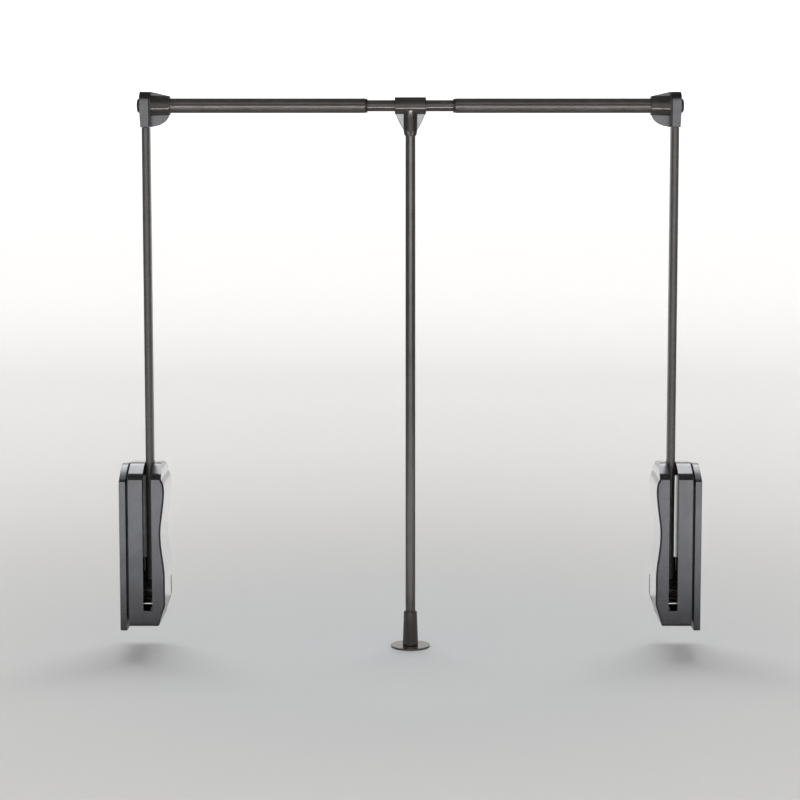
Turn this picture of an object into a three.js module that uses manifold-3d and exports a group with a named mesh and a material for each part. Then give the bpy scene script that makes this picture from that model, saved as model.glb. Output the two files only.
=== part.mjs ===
// Pull down closet rod: two spring-lifted arms in side housings carry a telescopic bar,
// and a handle that hangs from the bar swings it out of the wardrobe and down.
// Millimetres, +Z up. X runs along the bar, -Y points out of the wardrobe towards the user.
// The origin lies on the floor plane under the foot of the handle, midway between the housings.

import * as THREE from 'three';
import { mergeVertices } from 'three/addons/utils/BufferGeometryUtils.js';
import Module from 'manifold-3d';

const wasm = await Module();
wasm.setup();

// Driving dimensions of the whole rod
const overallWidth = 880;
const barHeight = 829;
const armReach = 741;
const swingDegrees = 85;
const seatGap = 0.3;
const cutOverrun = 5;

// Wall plate
const plateThickness = 10;
const plateBelow = 52;
const plateAbove = 177;
const plateRise = 21;
const plateEdgeBevel = 2;
const seamWidth = 3.6;
const landInset = 10;
const wallScrewHole = 5.5;
const wallScrewHead = 10;
const wallScrewInset = 19;

// Housing, measured from the pivot
const housingFront = 52.5;
const housingBack = 52.5;
const housingBelow = 45;
const housingHeight = 225;
const crownRise = 20;
const crownBevel = 7;
const backRound = 34;
const housingCorner = 5;
const frontEdgeRound = 1.8;
const outerShellWidth = 21.65;
const innerShellWidth = 19.25;
const shellWall = 2.4;
const slotWidth = 13.5;
const slotBelow = 21;
const slotLip = 8;

// Arm
const armWidth = 12;
const armDepth = 25;
const armWall = 1.5;
const armFootHeight = 20;
const tangLength = 34;

// Pivot, stop and lift gear
const pivotPinDiameter = 10;
const pivotBushWall = 1.7;
const pivotBossDiameter = 18;
const footDiscDiameter = 26;
const stopPinDiameter = 5;
const stopPinForward = 40;
const stopBossWall = 2.5;
const gearModule = 2;
const gearTeeth = 14;
const gearWidth = 12;
const pressureDegrees = 20;
const addendumShare = 0.75;
const dedendumShare = 0.95;
const backlash = 0.5;
const rackBelow = 33;
const rackAbove = 27;
const rackThickness = 9;

// Gas spring
const springDiameter = 16;
const springWall = 1.5;
const springEndWall = 5;
const springBottom = 49;
const springTopRoom = 3;
const springRodDiameter = 6;
const pistonLength = 8;
const saddleThickness = 4;

// Fasteners and the service cover
const shellScrewDiameter = 4;
const shellScrewHead = 7.6;
const shellScrewHeadDepth = 3;
const shellBossWall = 3;
const shellScrewInset = 12.5;
const fixingScrewDiameter = 5;
const fixingScrewHead = 9;
const fixingScrewHeadDepth = 3.2;
const coverFront = 12;
const coverBack = 42;
const coverBelow = 20;
const coverAbove = 16;
const coverThickness = 0.9;
const coverGap = 0.8;
const coverLedge = 2.5;

// Head of the arm and end of the bar
const headWidth = 14.4;
const headOverhang = 2.8;
const headDepth = 30;
const headBelow = 32;
const headAbove = 21;
const headTaper = 1.6;
const headSoftEdge = 1;
const boltDiameter = 8;
const boltHeadDiameter = 13;
const boltHeadHeight = 5;
const boltRecess = 7.5;
const capDiameter = 21;
const capHeight = 4;
const connectorLength = 31;
const connectorDiameter = 31;
const connectorMouthDiameter = 29;
const connectorEndWall = 7;
const flangeThickness = 2.2;
const connectorWeb = 6;
const connectorWebDrop = 14.6;
const connectorWebPeak = 6;

// Telescopic bar
const outerTubeDiameter = 22;
const outerTubeBore = 19.6;
const innerTubeShown = 44.3;
const fluteCount = 12;
const fluteDepth = 0.4;
const innerTubeDiameter = 17;
const innerTubeBore = 14;
const innerTubeLength = 480;
const bushLength = 28;
const bushCollar = 3;
const bushCollarDiameter = 21.4;

// Handle
const teeLength = 47;
const teeDiameter = 25.7;
const socketDiameter = 21;
const socketDrop = 45;
const socketTaper = 8;
const socketMouthDiameter = 18;
const teeWebThickness = 3;
const teeWebDrop = 38;
const handleDiameter = 15;
const handleWall = 1.2;
const handleTopDrop = 17;
const sleeveTop = 55.6;
const sleeveTopDiameter = 20.2;
const sleeveBottomDiameter = 24;
const sleeveFloor = 8;
const sleeveChamfer = 1.2;
const discDiameter = 60.5;
const discThickness = 3;
const discSoftEdge = 0.6;
const footScrewDiameter = 4.6;
const footScrewHead = 9.6;
const footScrewHeadDepth = 2;

// Facets round a circle
const fineFacets = 24;
const mediumFacets = 12;
const smallFacets = 8;
const curveSteps = 5;
const waveSteps = 16;
const facetsPerFlute = 4;
const cornersPerTriangle = 3;

// Places that follow from the sizes above
const pivotHeight = barHeight - armReach;
const housingAbove = housingHeight - housingBelow;
const slotHalf = slotWidth / 2;
const shellOuter = slotHalf + outerShellWidth;
const shellInner = slotHalf + innerShellWidth;
const plateInner = shellOuter + seamWidth;
const plateOuter = plateInner + plateThickness;
const armPlane = overallWidth / 2 - plateOuter;
const swingLimit = THREE.MathUtils.degToRad(swingDegrees);
const pitchRadius = gearModule * gearTeeth / 2;
const toothPitch = Math.PI * gearModule;
const toothHalf = (toothPitch / 2 - backlash) / 2;
const addendum = addendumShare * gearModule;
const dedendum = dedendumShare * gearModule;
const gearInner = armWidth / 2 + seatGap;
const gearOuter = gearInner + gearWidth;
const gearMiddle = (gearInner + gearOuter) / 2;
const rackFront = pitchRadius + seatGap / 2;
const rackBack = rackFront + dedendum + rackThickness;
const springPlace = rackFront + dedendum + rackThickness / 2;
const springTop = housingAbove - springTopRoom;
const pinEndInner = -shellInner + shellWall + seatGap;
const pinEndOuter = shellOuter - shellWall - seatGap;
const headOuter = armWidth / 2 + headOverhang;
const headInner = headOuter - headWidth;
const connectorStart = headInner - seatGap;
const connectorEnd = connectorStart - connectorLength;
const tubeStart = connectorStart - connectorEndWall - seatGap;
const tubeEnd = teeLength / 2 + innerTubeShown - armPlane;

// Where the lowered arm lies on the stop pin
const restSlope = Math.PI / 2 - swingLimit;
const armUnderside = stopPinForward * Math.tan(restSlope) - armDepth / 2 / Math.cos(restSlope);
const stopPinHeight = armUnderside - seatGap - stopPinDiameter / 2 / Math.cos(restSlope);

// Screws that join the two shells, as places in Y and Z
const shellScrewPlaces = [
  [-housingFront + shellScrewInset, -housingBelow + shellScrewInset + shellWall],
  [housingBack - shellScrewInset, -housingBelow + shellScrewInset + shellWall],
  [housingBack - shellScrewInset, housingAbove / 3],
  [housingBack - shellScrewInset, housingAbove - backRound],
];
const fixingScrewPlace = [
  rackBack + 2 * seatGap + shellWall + fixingScrewHead / 2,
  (coverAbove - coverBelow) / 2,
];

// The wave of the inner side, as shares of the inner width and of the front height
const waveShares = [
  [0.84, 1],
  [0.97, 0.965],
  [1.01, 0.913],
  [0.965, 0.84],
  [0.87, 0.75],
  [0.79, 0.675],
  [0.77, 0.618],
  [0.8, 0.55],
  [0.87, 0.48],
  [0.955, 0.41],
  [1, 0.345],
];
const slantStartShare = 0.142;
const slantEndShare = 0.67;

// Materials
function finish(colour, roughness, metalness) {
  return new THREE.MeshStandardMaterial({ color: colour, roughness, metalness });
}
const graphitePlastic = () => finish(0x63646a, 0.45, 0.1);
const blackPlastic = () => finish(0x161616, 0.5, 0);
const darkEnamel = () => finish(0x45423f, 0.35, 0.6);
const darkSteel = () => finish(0x4a4744, 0.3, 0.8);
const zincSteel = () => finish(0xb5b5b2, 0.35, 0.9);
const brightSteel = () => finish(0xd0d0d0, 0.2, 1);

// A closed mesh with shared corners, no empty triangles and faces pointing out
function weld(geometry) {
  const bare = geometry.clone();
  bare.deleteAttribute('normal');
  bare.deleteAttribute('uv');
  const merged = mergeVertices(bare);
  const position = merged.attributes.position;
  const kept = [];
  let volume = 0;
  const corners = [new THREE.Vector3(), new THREE.Vector3(), new THREE.Vector3()];
  for (let start = 0; start < merged.index.count; start += cornersPerTriangle) {
    const triangle = [0, 1, 2].map((step) => merged.index.getX(start + step));
    if (new Set(triangle).size < cornersPerTriangle) continue;
    triangle.forEach((index, step) => corners[step].fromBufferAttribute(position, index));
    volume += corners[0].dot(corners[1].clone().cross(corners[2]));
    kept.push(triangle);
  }
  if (volume < 0) kept.forEach((triangle) => triangle.reverse());
  merged.setIndex(kept.flat());
  return merged;
}

function solidOf(geometry) {
  const welded = weld(geometry);
  return new wasm.Manifold(new wasm.Mesh({
    numProp: 3,
    vertProperties: new Float32Array(welded.attributes.position.array),
    triVerts: new Uint32Array(welded.index.array),
  }));
}

function geometryOf(solid) {
  const mesh = solid.getMesh();
  const geometry = new THREE.BufferGeometry();
  geometry.setAttribute('position', new THREE.BufferAttribute(mesh.vertProperties, 3));
  geometry.setIndex(new THREE.BufferAttribute(mesh.triVerts, 1));
  return geometry;
}

function cut(base, tools) {
  return tools.reduce((left, tool) => left.subtract(tool), base);
}

function join(solids) {
  return solids.reduce((whole, solid) => whole.add(solid));
}

// Prisms of a flat outline: drawn in Y and Z along X, in X and Z along Y, or in X and Y along Z
const alongX = new THREE.Matrix4().makeBasis(
  new THREE.Vector3(0, 1, 0),
  new THREE.Vector3(0, 0, 1),
  new THREE.Vector3(1, 0, 0),
);
const alongY = new THREE.Matrix4().makeBasis(
  new THREE.Vector3(1, 0, 0),
  new THREE.Vector3(0, 0, 1),
  new THREE.Vector3(0, -1, 0),
);

function prismAlongX(outline, low, high, steps = curveSteps) {
  const prism = new THREE.ExtrudeGeometry(outline, { depth: high - low, bevelEnabled: false, curveSegments: steps });
  return prism.applyMatrix4(alongX).translate(low, 0, 0);
}

function prismAlongY(outline, low, high, steps = curveSteps) {
  const prism = new THREE.ExtrudeGeometry(outline, { depth: high - low, bevelEnabled: false, curveSegments: steps });
  return prism.applyMatrix4(alongY).translate(0, high, 0);
}

function prismAlongZ(outline, low, high, steps = curveSteps) {
  const prism = new THREE.ExtrudeGeometry(outline, { depth: high - low, bevelEnabled: false, curveSegments: steps });
  return prism.translate(0, 0, low);
}

// Turned forms: the profile holds pairs of place along the axis and radius
function turned(profile, facets) {
  return new THREE.LatheGeometry(profile.map(([place, radius]) => new THREE.Vector2(radius, place)), facets);
}

const axisToX = new THREE.Matrix4().makeBasis(
  new THREE.Vector3(0, 1, 0),
  new THREE.Vector3(1, 0, 0),
  new THREE.Vector3(0, 0, -1),
);

function turnedAlongX(profile, facets) {
  return turned(profile, facets).applyMatrix4(axisToX);
}

function turnedAlongZ(profile, facets) {
  return turned(profile, facets).rotateX(Math.PI / 2);
}

function rodProfile(low, high, radius, chamfer = 0) {
  return [[low, 0], [low, radius - chamfer], [low + chamfer, radius], [high - chamfer, radius], [high, radius - chamfer], [high, 0]];
}

function sleeveProfile(low, high, boreRadius, radius) {
  return [[low, boreRadius], [low, radius], [high, radius], [high, boreRadius], [low, boreRadius]];
}

function rodX(low, high, diameter, facets, y = 0, z = 0) {
  return solidOf(turnedAlongX(rodProfile(low, high, diameter / 2), facets).translate(0, y, z));
}

function rodZ(low, high, diameter, facets, x = 0, y = 0) {
  return solidOf(turnedAlongZ(rodProfile(low, high, diameter / 2), facets).translate(x, y, 0));
}

function block(lowX, highX, lowY, highY, lowZ, highZ) {
  const box = new THREE.BoxGeometry(highX - lowX, highY - lowY, highZ - lowZ);
  return solidOf(box.translate((lowX + highX) / 2, (lowY + highY) / 2, (lowZ + highZ) / 2));
}

function flatOval(width, depth) {
  const radius = width / 2;
  const straight = depth / 2 - radius;
  const outline = new THREE.Shape();
  outline.absarc(0, straight, radius, 0, Math.PI);
  outline.absarc(0, -straight, radius, Math.PI, 2 * Math.PI);
  outline.closePath();
  return outline;
}

// Side view of the housing and of the wall plate, drawn in Y and Z
function sideOutline(inset, below, above, rise, bevel) {
  const front = -housingFront + inset;
  const back = housingBack - inset;
  const bottom = -below + inset;
  const edge = above - inset;
  const crest = above + rise - inset;
  const corner = Math.max(housingCorner - inset, housingCorner / 4);
  const bevelTop = [front + bevel, edge + bevel];
  const crestPlace = (front + back) / 2;
  const outline = new THREE.Shape();
  outline.moveTo(front + corner, bottom);
  outline.lineTo(back - corner, bottom);
  outline.quadraticCurveTo(back, bottom, back, bottom + corner);
  outline.lineTo(back, crest - backRound);
  outline.bezierCurveTo(back, crest - backRound / 3, back - backRound / 2, crest, crestPlace, crest);
  outline.bezierCurveTo(
    crestPlace - backRound / 2, crest,
    bevelTop[0] + backRound / 2, (bevelTop[1] + crest) / 2,
    bevelTop[0], bevelTop[1],
  );
  outline.lineTo(front, edge);
  outline.lineTo(front, bottom + corner);
  outline.quadraticCurveTo(front, bottom, front + corner, bottom);
  return outline;
}

// Front view of the housing, drawn in X and Z: straight outer side, wavy inner side
function frontOutline(inset) {
  const outer = shellOuter - inset;
  const bottom = -housingBelow + inset;
  const top = housingAbove + crownRise - inset;
  const inner = (share) => -share * shellInner + inset;
  const level = (share) => -housingBelow + share * housingHeight;
  const wave = new THREE.SplineCurve(
    waveShares.map(([widthShare, heightShare]) => new THREE.Vector2(inner(widthShare), level(heightShare))),
  );
  const outline = new THREE.Shape();
  outline.moveTo(outer, bottom);
  outline.lineTo(outer, top);
  outline.lineTo(inner(waveShares[0][0]) + crownBevel, top);
  outline.quadraticCurveTo(inner(waveShares[0][0]), top, inner(waveShares[0][0]), level(waveShares[0][1]));
  wave.getPoints(waveSteps).slice(1).forEach((point) => outline.lineTo(point.x, point.y));
  outline.lineTo(inner(1), level(slantStartShare));
  outline.lineTo(inner(slantEndShare), bottom + housingCorner);
  outline.quadraticCurveTo(inner(slantEndShare), bottom, inner(slantEndShare) + housingCorner, bottom);
  outline.closePath();
  return outline;
}

// The housing as a full body, drawn in by an inset on every side
function housingBody(inset, edgeRound) {
  const front = -housingFront + inset;
  const back = housingBack - inset;
  const face = new THREE.ExtrudeGeometry(frontOutline(inset), {
    depth: back - front - 2 * edgeRound,
    bevelEnabled: edgeRound > 0,
    bevelThickness: edgeRound,
    bevelSize: edgeRound,
    bevelOffset: -edgeRound,
    bevelSegments: 1,
    curveSegments: curveSteps / 2,
  });
  face.applyMatrix4(alongY).translate(0, back - edgeRound, 0);
  const side = sideOutline(inset, housingBelow, housingAbove, crownRise, crownBevel);
  const low = -shellInner - cutOverrun;
  const high = shellOuter + cutOverrun;
  return solidOf(face).intersect(solidOf(prismAlongX(side, low, high)));
}

const fullBody = housingBody(0, frontEdgeRound);
const hollowShell = fullBody.subtract(housingBody(shellWall, 0));
const slotBack = armDepth / 2 + 2 * seatGap;
const slotTop = housingAbove + crownRise + cutOverrun;
const slotCut = block(-slotHalf, slotHalf, -housingFront - cutOverrun, slotBack, -slotBelow, slotTop);

// The lip that turns inwards along each side of the slot's front
function slotSideLip(low, high) {
  const lip = block(low, high, -housingFront, -housingFront + slotLip, -slotBelow - shellWall, slotTop);
  return lip.intersect(fullBody);
}

function shellBoss([y, z], low, high, diameter, facets = mediumFacets) {
  return rodX(low, high, diameter, facets, y, z).intersect(fullBody);
}

// Outer shell: the half that meets the wall plate and holds the gas spring and rack
function outerShell() {
  const parting = slotHalf + seatGap / 2;
  const wall = shellOuter - shellWall / 2;
  const beyond = shellOuter + cutOverrun;
  const screwBoss = shellScrewHead + shellBossWall;
  const guideTop = springBottom - saddleThickness;
  const half = hollowShell.intersect(block(parting, beyond, -2 * housingFront, 2 * housingBack, -2 * plateBelow, slotTop));
  const saddles = [springBottom + 2 * saddleThickness, springTop - 4 * saddleThickness].map((level) => (
    block(parting, wall, springPlace, springPlace + springDiameter / 2 + shellWall, level, level + saddleThickness)
  ));
  const springRoom = rodZ(springBottom, springTop, springDiameter + 2 * seatGap, mediumFacets, gearMiddle, springPlace);
  const added = join([
    slotSideLip(parting, parting + shellWall),
    shellBoss([0, 0], gearOuter + seatGap, wall, pivotBossDiameter),
    shellBoss([-stopPinForward, stopPinHeight], parting, wall, stopPinDiameter + 2 * stopBossWall),
    block(gearInner + seatGap, wall, rackBack + seatGap, rackBack + seatGap + shellWall, -rackBelow, guideTop),
    block(gearOuter + seatGap, wall, rackFront + dedendum, rackBack, -rackBelow, guideTop),
    block(parting, wall, springPlace - shellWall, springPlace + shellWall, springTop + seatGap, slotTop)
      .intersect(fullBody),
    shellBoss(fixingScrewPlace, gearOuter, wall, fixingScrewHead),
    ...saddles,
    ...shellScrewPlaces.map((place) => shellBoss(place, parting, wall, screwBoss)),
  ]);
  const screwBores = shellScrewPlaces.flatMap(([y, z]) => [
    rodX(0, beyond, shellScrewDiameter + 2 * seatGap, smallFacets, y, z),
    rodX(shellOuter - shellScrewHeadDepth - seatGap, beyond, shellScrewHead + 2 * seatGap, smallFacets, y, z),
  ]);
  return cut(half.add(added), [
    springRoom,
    rodX(0, shellOuter - shellWall, pivotPinDiameter + 2 * seatGap, mediumFacets),
    rodX(0, shellOuter - shellWall, stopPinDiameter + 2 * seatGap, smallFacets, -stopPinForward, stopPinHeight),
    rodX(0, beyond, fixingScrewDiameter + 2 * seatGap, smallFacets, ...fixingScrewPlace),
    ...screwBores,
  ]).subtract(slotCut);
}

function coverRegion(grow) {
  return block(
    -shellInner - cutOverrun, -slotHalf,
    coverFront - grow, coverBack + grow,
    -coverBelow - grow, coverAbove + grow,
  );
}

// Inner shell: the wavy half that faces the clothes, with the slot between it and the outer shell
function innerShell() {
  const parting = slotHalf - seatGap / 2;
  const wall = -shellInner - cutOverrun;
  const pilotEnd = -slotHalf - shellBossWall;
  const half = hollowShell.intersect(block(wall, parting, -2 * housingFront, 2 * housingBack, -2 * plateBelow, slotTop));
  const added = join([
    slotSideLip(-slotHalf - shellWall, -slotHalf),
    shellBoss([0, 0], wall, -armWidth / 2 - seatGap, pivotBossDiameter),
    shellBoss([-stopPinForward, stopPinHeight], wall, -slotHalf, stopPinDiameter + 2 * stopBossWall),
    ...shellScrewPlaces.map((place) => shellBoss(place, wall, parting, shellScrewDiameter + 2 * shellBossWall)),
  ]);
  return cut(half.add(added), [
    slotCut,
    coverRegion(coverGap).subtract(housingBody(coverThickness + seatGap, 0)),
    coverRegion(-coverLedge),
    rodX(-shellInner + shellWall, 0, pivotPinDiameter + 2 * seatGap, mediumFacets),
    rodX(-shellInner + shellWall, 0, stopPinDiameter + 2 * seatGap, smallFacets, -stopPinForward, stopPinHeight),
    ...shellScrewPlaces.map(([y, z]) => rodX(pilotEnd, shellOuter, shellScrewDiameter + 2 * seatGap, smallFacets, y, z)),
  ]);
}

function serviceCover() {
  return coverRegion(0).intersect(fullBody.subtract(housingBody(coverThickness, 0)));
}

// Wall plate: flat back against the wardrobe's side, with a raised land that carries the housing
function wallPlate() {
  const outline = sideOutline(0, plateBelow, plateAbove, plateRise, plateEdgeBevel);
  const land = sideOutline(landInset, housingBelow, housingAbove, crownRise, crownBevel);
  const places = [-housingFront + wallScrewInset, housingBack - wallScrewInset].flatMap((y) => (
    [-housingBelow + wallScrewInset, plateAbove - 2 * wallScrewInset].map((z) => [y, z])
  ));
  const landFace = shellOuter + seatGap;
  const holes = places.map(([y, z]) => solidOf(turnedAlongX([
    [landFace - cutOverrun, 0],
    [landFace - cutOverrun, wallScrewHead / 2],
    [landFace + (wallScrewHead - wallScrewHole) / 2, wallScrewHead / 2],
    [landFace + wallScrewHead - wallScrewHole, wallScrewHole / 2],
    [plateOuter + cutOverrun, wallScrewHole / 2],
    [plateOuter + cutOverrun, 0],
  ], smallFacets).translate(0, y, z)));
  return cut(
    solidOf(prismAlongX(outline, plateInner, plateOuter)).add(solidOf(prismAlongX(land, landFace, plateOuter - seamWidth))),
    [
      ...holes,
      rodX(landFace - cutOverrun, plateOuter - shellWall, fixingScrewDiameter + 2 * seatGap, smallFacets, ...fixingScrewPlace),
    ],
  );
}

// A screw or bolt along X with its head at the high end
function screwAlongX(low, high, diameter, headDiameter, headDepth, facets) {
  return turnedAlongX([
    [low, 0],
    [low, diameter / 2 - diameter / 8],
    [low + diameter / 8, diameter / 2],
    [high - headDepth, diameter / 2],
    [high - headDepth, headDiameter / 2],
    [high - headDepth / 4, headDiameter / 2],
    [high, headDiameter / 2 - headDepth / 4],
    [high, 0],
  ], facets);
}

// Gear teeth: involute flanks on the pinion, straight flanks on the rack
function involute(radius, baseRadius) {
  const ratio = Math.max(radius / baseRadius, 1);
  return Math.sqrt(ratio * ratio - 1) - Math.acos(1 / ratio);
}

function pinionOutline() {
  const pressure = THREE.MathUtils.degToRad(pressureDegrees);
  const baseRadius = pitchRadius * Math.cos(pressure);
  const tipRadius = pitchRadius + addendum;
  const radii = [pitchRadius - dedendum, baseRadius, pitchRadius, tipRadius];
  const halfAngle = (radius) => (
    toothHalf / pitchRadius + involute(pitchRadius, baseRadius) - involute(radius, baseRadius)
  );
  const outline = new THREE.Shape();
  for (let tooth = 0; tooth < gearTeeth; tooth += 1) {
    const middle = 2 * Math.PI * tooth / gearTeeth;
    const rising = radii.map((radius) => [radius, middle - halfAngle(radius)]);
    const falling = radii.map((radius) => [radius, middle + halfAngle(radius)]).reverse();
    [...rising, ...falling].forEach(([radius, angle], index) => {
      const draw = tooth + index === 0 ? 'moveTo' : 'lineTo';
      outline[draw](radius * Math.cos(angle), radius * Math.sin(angle));
    });
  }
  outline.closePath();
  return outline;
}

function rackOutline() {
  const slope = Math.tan(THREE.MathUtils.degToRad(pressureDegrees));
  const root = rackFront + dedendum;
  const tip = rackFront - addendum;
  const first = Math.floor((-rackBelow + toothPitch) / toothPitch);
  const last = Math.floor((rackAbove - toothPitch) / toothPitch);
  const outline = new THREE.Shape();
  outline.moveTo(rackBack, -rackBelow);
  outline.lineTo(rackBack, rackAbove);
  outline.lineTo(root, rackAbove);
  for (let tooth = last; tooth >= first; tooth -= 1) {
    const middle = (tooth + 1 / 2) * toothPitch;
    outline.lineTo(root, middle + toothHalf + dedendum * slope);
    outline.lineTo(tip, middle + toothHalf - addendum * slope);
    outline.lineTo(tip, middle - toothHalf + addendum * slope);
    outline.lineTo(root, middle - toothHalf - dedendum * slope);
  }
  outline.lineTo(root, -rackBelow);
  outline.closePath();
  return outline;
}

// Foot of the arm: a cast disc on the pivot, the pinion beside it, and a tang up into the arm
function armFoot() {
  const tangWidth = armWidth - 2 * armWall - 2 * seatGap;
  const tangDepth = armDepth - 2 * armWall - 2 * seatGap;
  const shoulder = armFootHeight - seatGap;
  const boreDiameter = pivotPinDiameter + 2 * pivotBushWall + 4 * seatGap;
  return cut(join([
    rodX(-armWidth / 2, armWidth / 2, footDiscDiameter, fineFacets),
    solidOf(prismAlongZ(flatOval(armWidth, armDepth), 0, shoulder)),
    solidOf(prismAlongZ(flatOval(tangWidth, tangDepth), 0, shoulder + tangLength)),
    solidOf(prismAlongX(pinionOutline(), 0, gearOuter)),
  ]), [rodX(-slotWidth, gearOuter + cutOverrun, boreDiameter, mediumFacets)]);
}

function armTube() {
  const section = flatOval(armWidth, armDepth);
  section.holes.push(flatOval(armWidth - 2 * armWall, armDepth - 2 * armWall));
  return prismAlongZ(section, armFootHeight, armReach - headBelow - seatGap);
}

// Head of the arm: a block over the arm's end with a round top, a spigot and a bolt recess
function armHeadSideOutline() {
  const radius = headDepth / 2;
  const soft = headSoftEdge;
  const bottom = armReach - headBelow;
  const middle = armReach + headAbove - radius;
  const outline = new THREE.Shape();
  outline.moveTo(-radius + soft, bottom);
  outline.lineTo(radius - soft, bottom);
  outline.lineTo(radius, bottom + soft);
  outline.lineTo(radius, middle);
  outline.absarc(0, middle, radius, 0, Math.PI);
  outline.lineTo(-radius, bottom + soft);
  outline.closePath();
  return outline;
}

function armHead() {
  const soft = headSoftEdge;
  const bottom = armReach - headBelow;
  const top = armReach + headAbove;
  const front = new THREE.Shape();
  front.moveTo(headInner, bottom);
  front.lineTo(headOuter - headTaper - soft, bottom);
  front.lineTo(headOuter - headTaper, bottom + soft);
  front.lineTo(headOuter, armReach);
  front.lineTo(headOuter, top - 2 * soft);
  front.lineTo(headOuter - 2 * soft, top);
  front.lineTo(headInner, top);
  front.closePath();
  const spigotWidth = armWidth - 2 * armWall - 2 * seatGap;
  const spigotDepth = armDepth - 2 * armWall - 2 * seatGap;
  const body = solidOf(prismAlongY(front, -headDepth, headDepth))
    .intersect(solidOf(prismAlongX(armHeadSideOutline(), headInner, headOuter, mediumFacets / 2)));
  const spigot = solidOf(prismAlongZ(flatOval(spigotWidth, spigotDepth), bottom - tangLength, bottom + shellWall));
  return cut(body.add(spigot), [
    rodX(headInner - cutOverrun, headOuter, boltDiameter + 2 * seatGap, smallFacets, 0, armReach),
    rodX(headOuter - boltRecess, headOuter + cutOverrun, boltHeadDiameter + 2 * seatGap, mediumFacets, 0, armReach),
  ]);
}

function headBolt() {
  const low = tubeStart + 2 * seatGap;
  const high = headOuter - boltRecess + seatGap + boltHeadHeight;
  return screwAlongX(low, high, boltDiameter, boltHeadDiameter, boltHeadHeight, mediumFacets)
    .translate(0, 0, armReach);
}

function headCap() {
  const seat = headOuter + seatGap;
  const radius = capDiameter / 2;
  const stubEnd = headOuter - boltRecess + boltHeadHeight + 2 * seatGap;
  return turnedAlongX([
    [stubEnd, 0],
    [stubEnd, boltHeadDiameter / 2 - seatGap],
    [seat, boltHeadDiameter / 2 - seatGap],
    [seat, radius],
    [seat + capHeight / 3, radius],
    [seat + capHeight * 2 / 3, radius - capHeight / 4],
    [seat + capHeight, radius - capHeight],
    [seat + capHeight, 0],
  ], fineFacets).translate(0, 0, armReach);
}

// End connector: a flange on the head, a barrel over the tube's end and webs above and below it
function endConnector() {
  const flangeEnd = connectorStart - flangeThickness;
  const barrel = solidOf(turnedAlongX([
    [connectorStart, 0],
    [connectorStart, connectorDiameter / 2],
    [connectorEnd + seamWidth / 2, connectorMouthDiameter / 2],
    [connectorEnd, connectorMouthDiameter / 2 - seamWidth / 4],
    [connectorEnd, 0],
  ], fineFacets).translate(0, 0, armReach));
  const flange = solidOf(prismAlongX(armHeadSideOutline(), flangeEnd, connectorStart, mediumFacets / 2));
  const web = new THREE.Shape();
  web.moveTo(connectorStart, armReach - headBelow);
  web.lineTo(connectorStart, armReach + headAbove);
  web.lineTo(flangeEnd, armReach + headAbove);
  web.lineTo(connectorEnd, armReach + connectorMouthDiameter / 2);
  web.lineTo(connectorEnd, armReach - connectorWebDrop);
  web.quadraticCurveTo(
    connectorEnd + connectorWebPeak, armReach - headBelow + connectorWebPeak / 2,
    flangeEnd, armReach - headBelow,
  );
  web.closePath();
  const webPlate = solidOf(prismAlongY(web, -connectorWeb / 2, connectorWeb / 2));
  const tubeRoom = tubeStart + seatGap;
  return cut(join([barrel, flange, webPlate]), [
    rodX(connectorEnd - cutOverrun, tubeRoom, outerTubeDiameter + 2 * seatGap, fineFacets, 0, armReach),
    rodX(connectorEnd, connectorStart + cutOverrun, boltDiameter + 2 * seatGap, smallFacets, 0, armReach),
  ]);
}

// Outer tube of the bar, fluted along its length
function outerTube() {
  const count = fluteCount * facetsPerFlute;
  const outline = new THREE.Shape();
  for (let index = 0; index < count; index += 1) {
    const angle = 2 * Math.PI * index / count;
    const radius = outerTubeDiameter / 2 - fluteDepth * (1 - Math.cos(fluteCount * angle)) / 2;
    const draw = index === 0 ? 'moveTo' : 'lineTo';
    outline[draw](radius * Math.cos(angle), radius * Math.sin(angle));
  }
  outline.closePath();
  const bore = new THREE.Path();
  bore.absarc(0, 0, outerTubeBore / 2, 0, 2 * Math.PI);
  outline.holes.push(bore);
  return prismAlongX(outline, tubeEnd, tubeStart, fineFacets).translate(0, 0, armReach);
}

function tubeBush() {
  const inner = innerTubeDiameter / 2 + seatGap;
  const outer = outerTubeBore / 2 - seatGap;
  const collar = tubeEnd - seatGap;
  return turnedAlongX([
    [collar - bushCollar, inner],
    [collar - bushCollar, bushCollarDiameter / 2 - seamWidth / 4],
    [collar - bushCollar + seamWidth / 4, bushCollarDiameter / 2],
    [collar, bushCollarDiameter / 2],
    [collar, outer],
    [collar + bushLength, outer],
    [collar + bushLength, inner],
    [collar - bushCollar, inner],
  ], fineFacets).translate(0, 0, armReach);
}

function gasCylinder() {
  const bore = springDiameter / 2 - springWall;
  const neck = springRodDiameter / 2 + seatGap;
  const softEnd = springWall;
  return turnedAlongZ([
    [springBottom, neck],
    [springBottom, springDiameter / 2 - softEnd],
    [springBottom + softEnd, springDiameter / 2],
    [springTop - softEnd, springDiameter / 2],
    [springTop, springDiameter / 2 - softEnd],
    [springTop, 0],
    [springTop - springEndWall, 0],
    [springTop - springEndWall, bore],
    [springBottom + springEndWall, bore],
    [springBottom + springEndWall, neck],
    [springBottom, neck],
  ], mediumFacets).translate(gearMiddle, springPlace, 0);
}

function springRod() {
  const foot = rackAbove + seatGap;
  const pistonLow = springBottom + springEndWall + seatGap;
  const pistonRadius = springDiameter / 2 - springWall - seatGap;
  return turnedAlongZ([
    [foot, 0],
    [foot, springRodDiameter / 2],
    [pistonLow, springRodDiameter / 2],
    [pistonLow, pistonRadius],
    [pistonLow + pistonLength, pistonRadius],
    [pistonLow + pistonLength, 0],
  ], mediumFacets).translate(gearMiddle, springPlace, 0);
}

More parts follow.
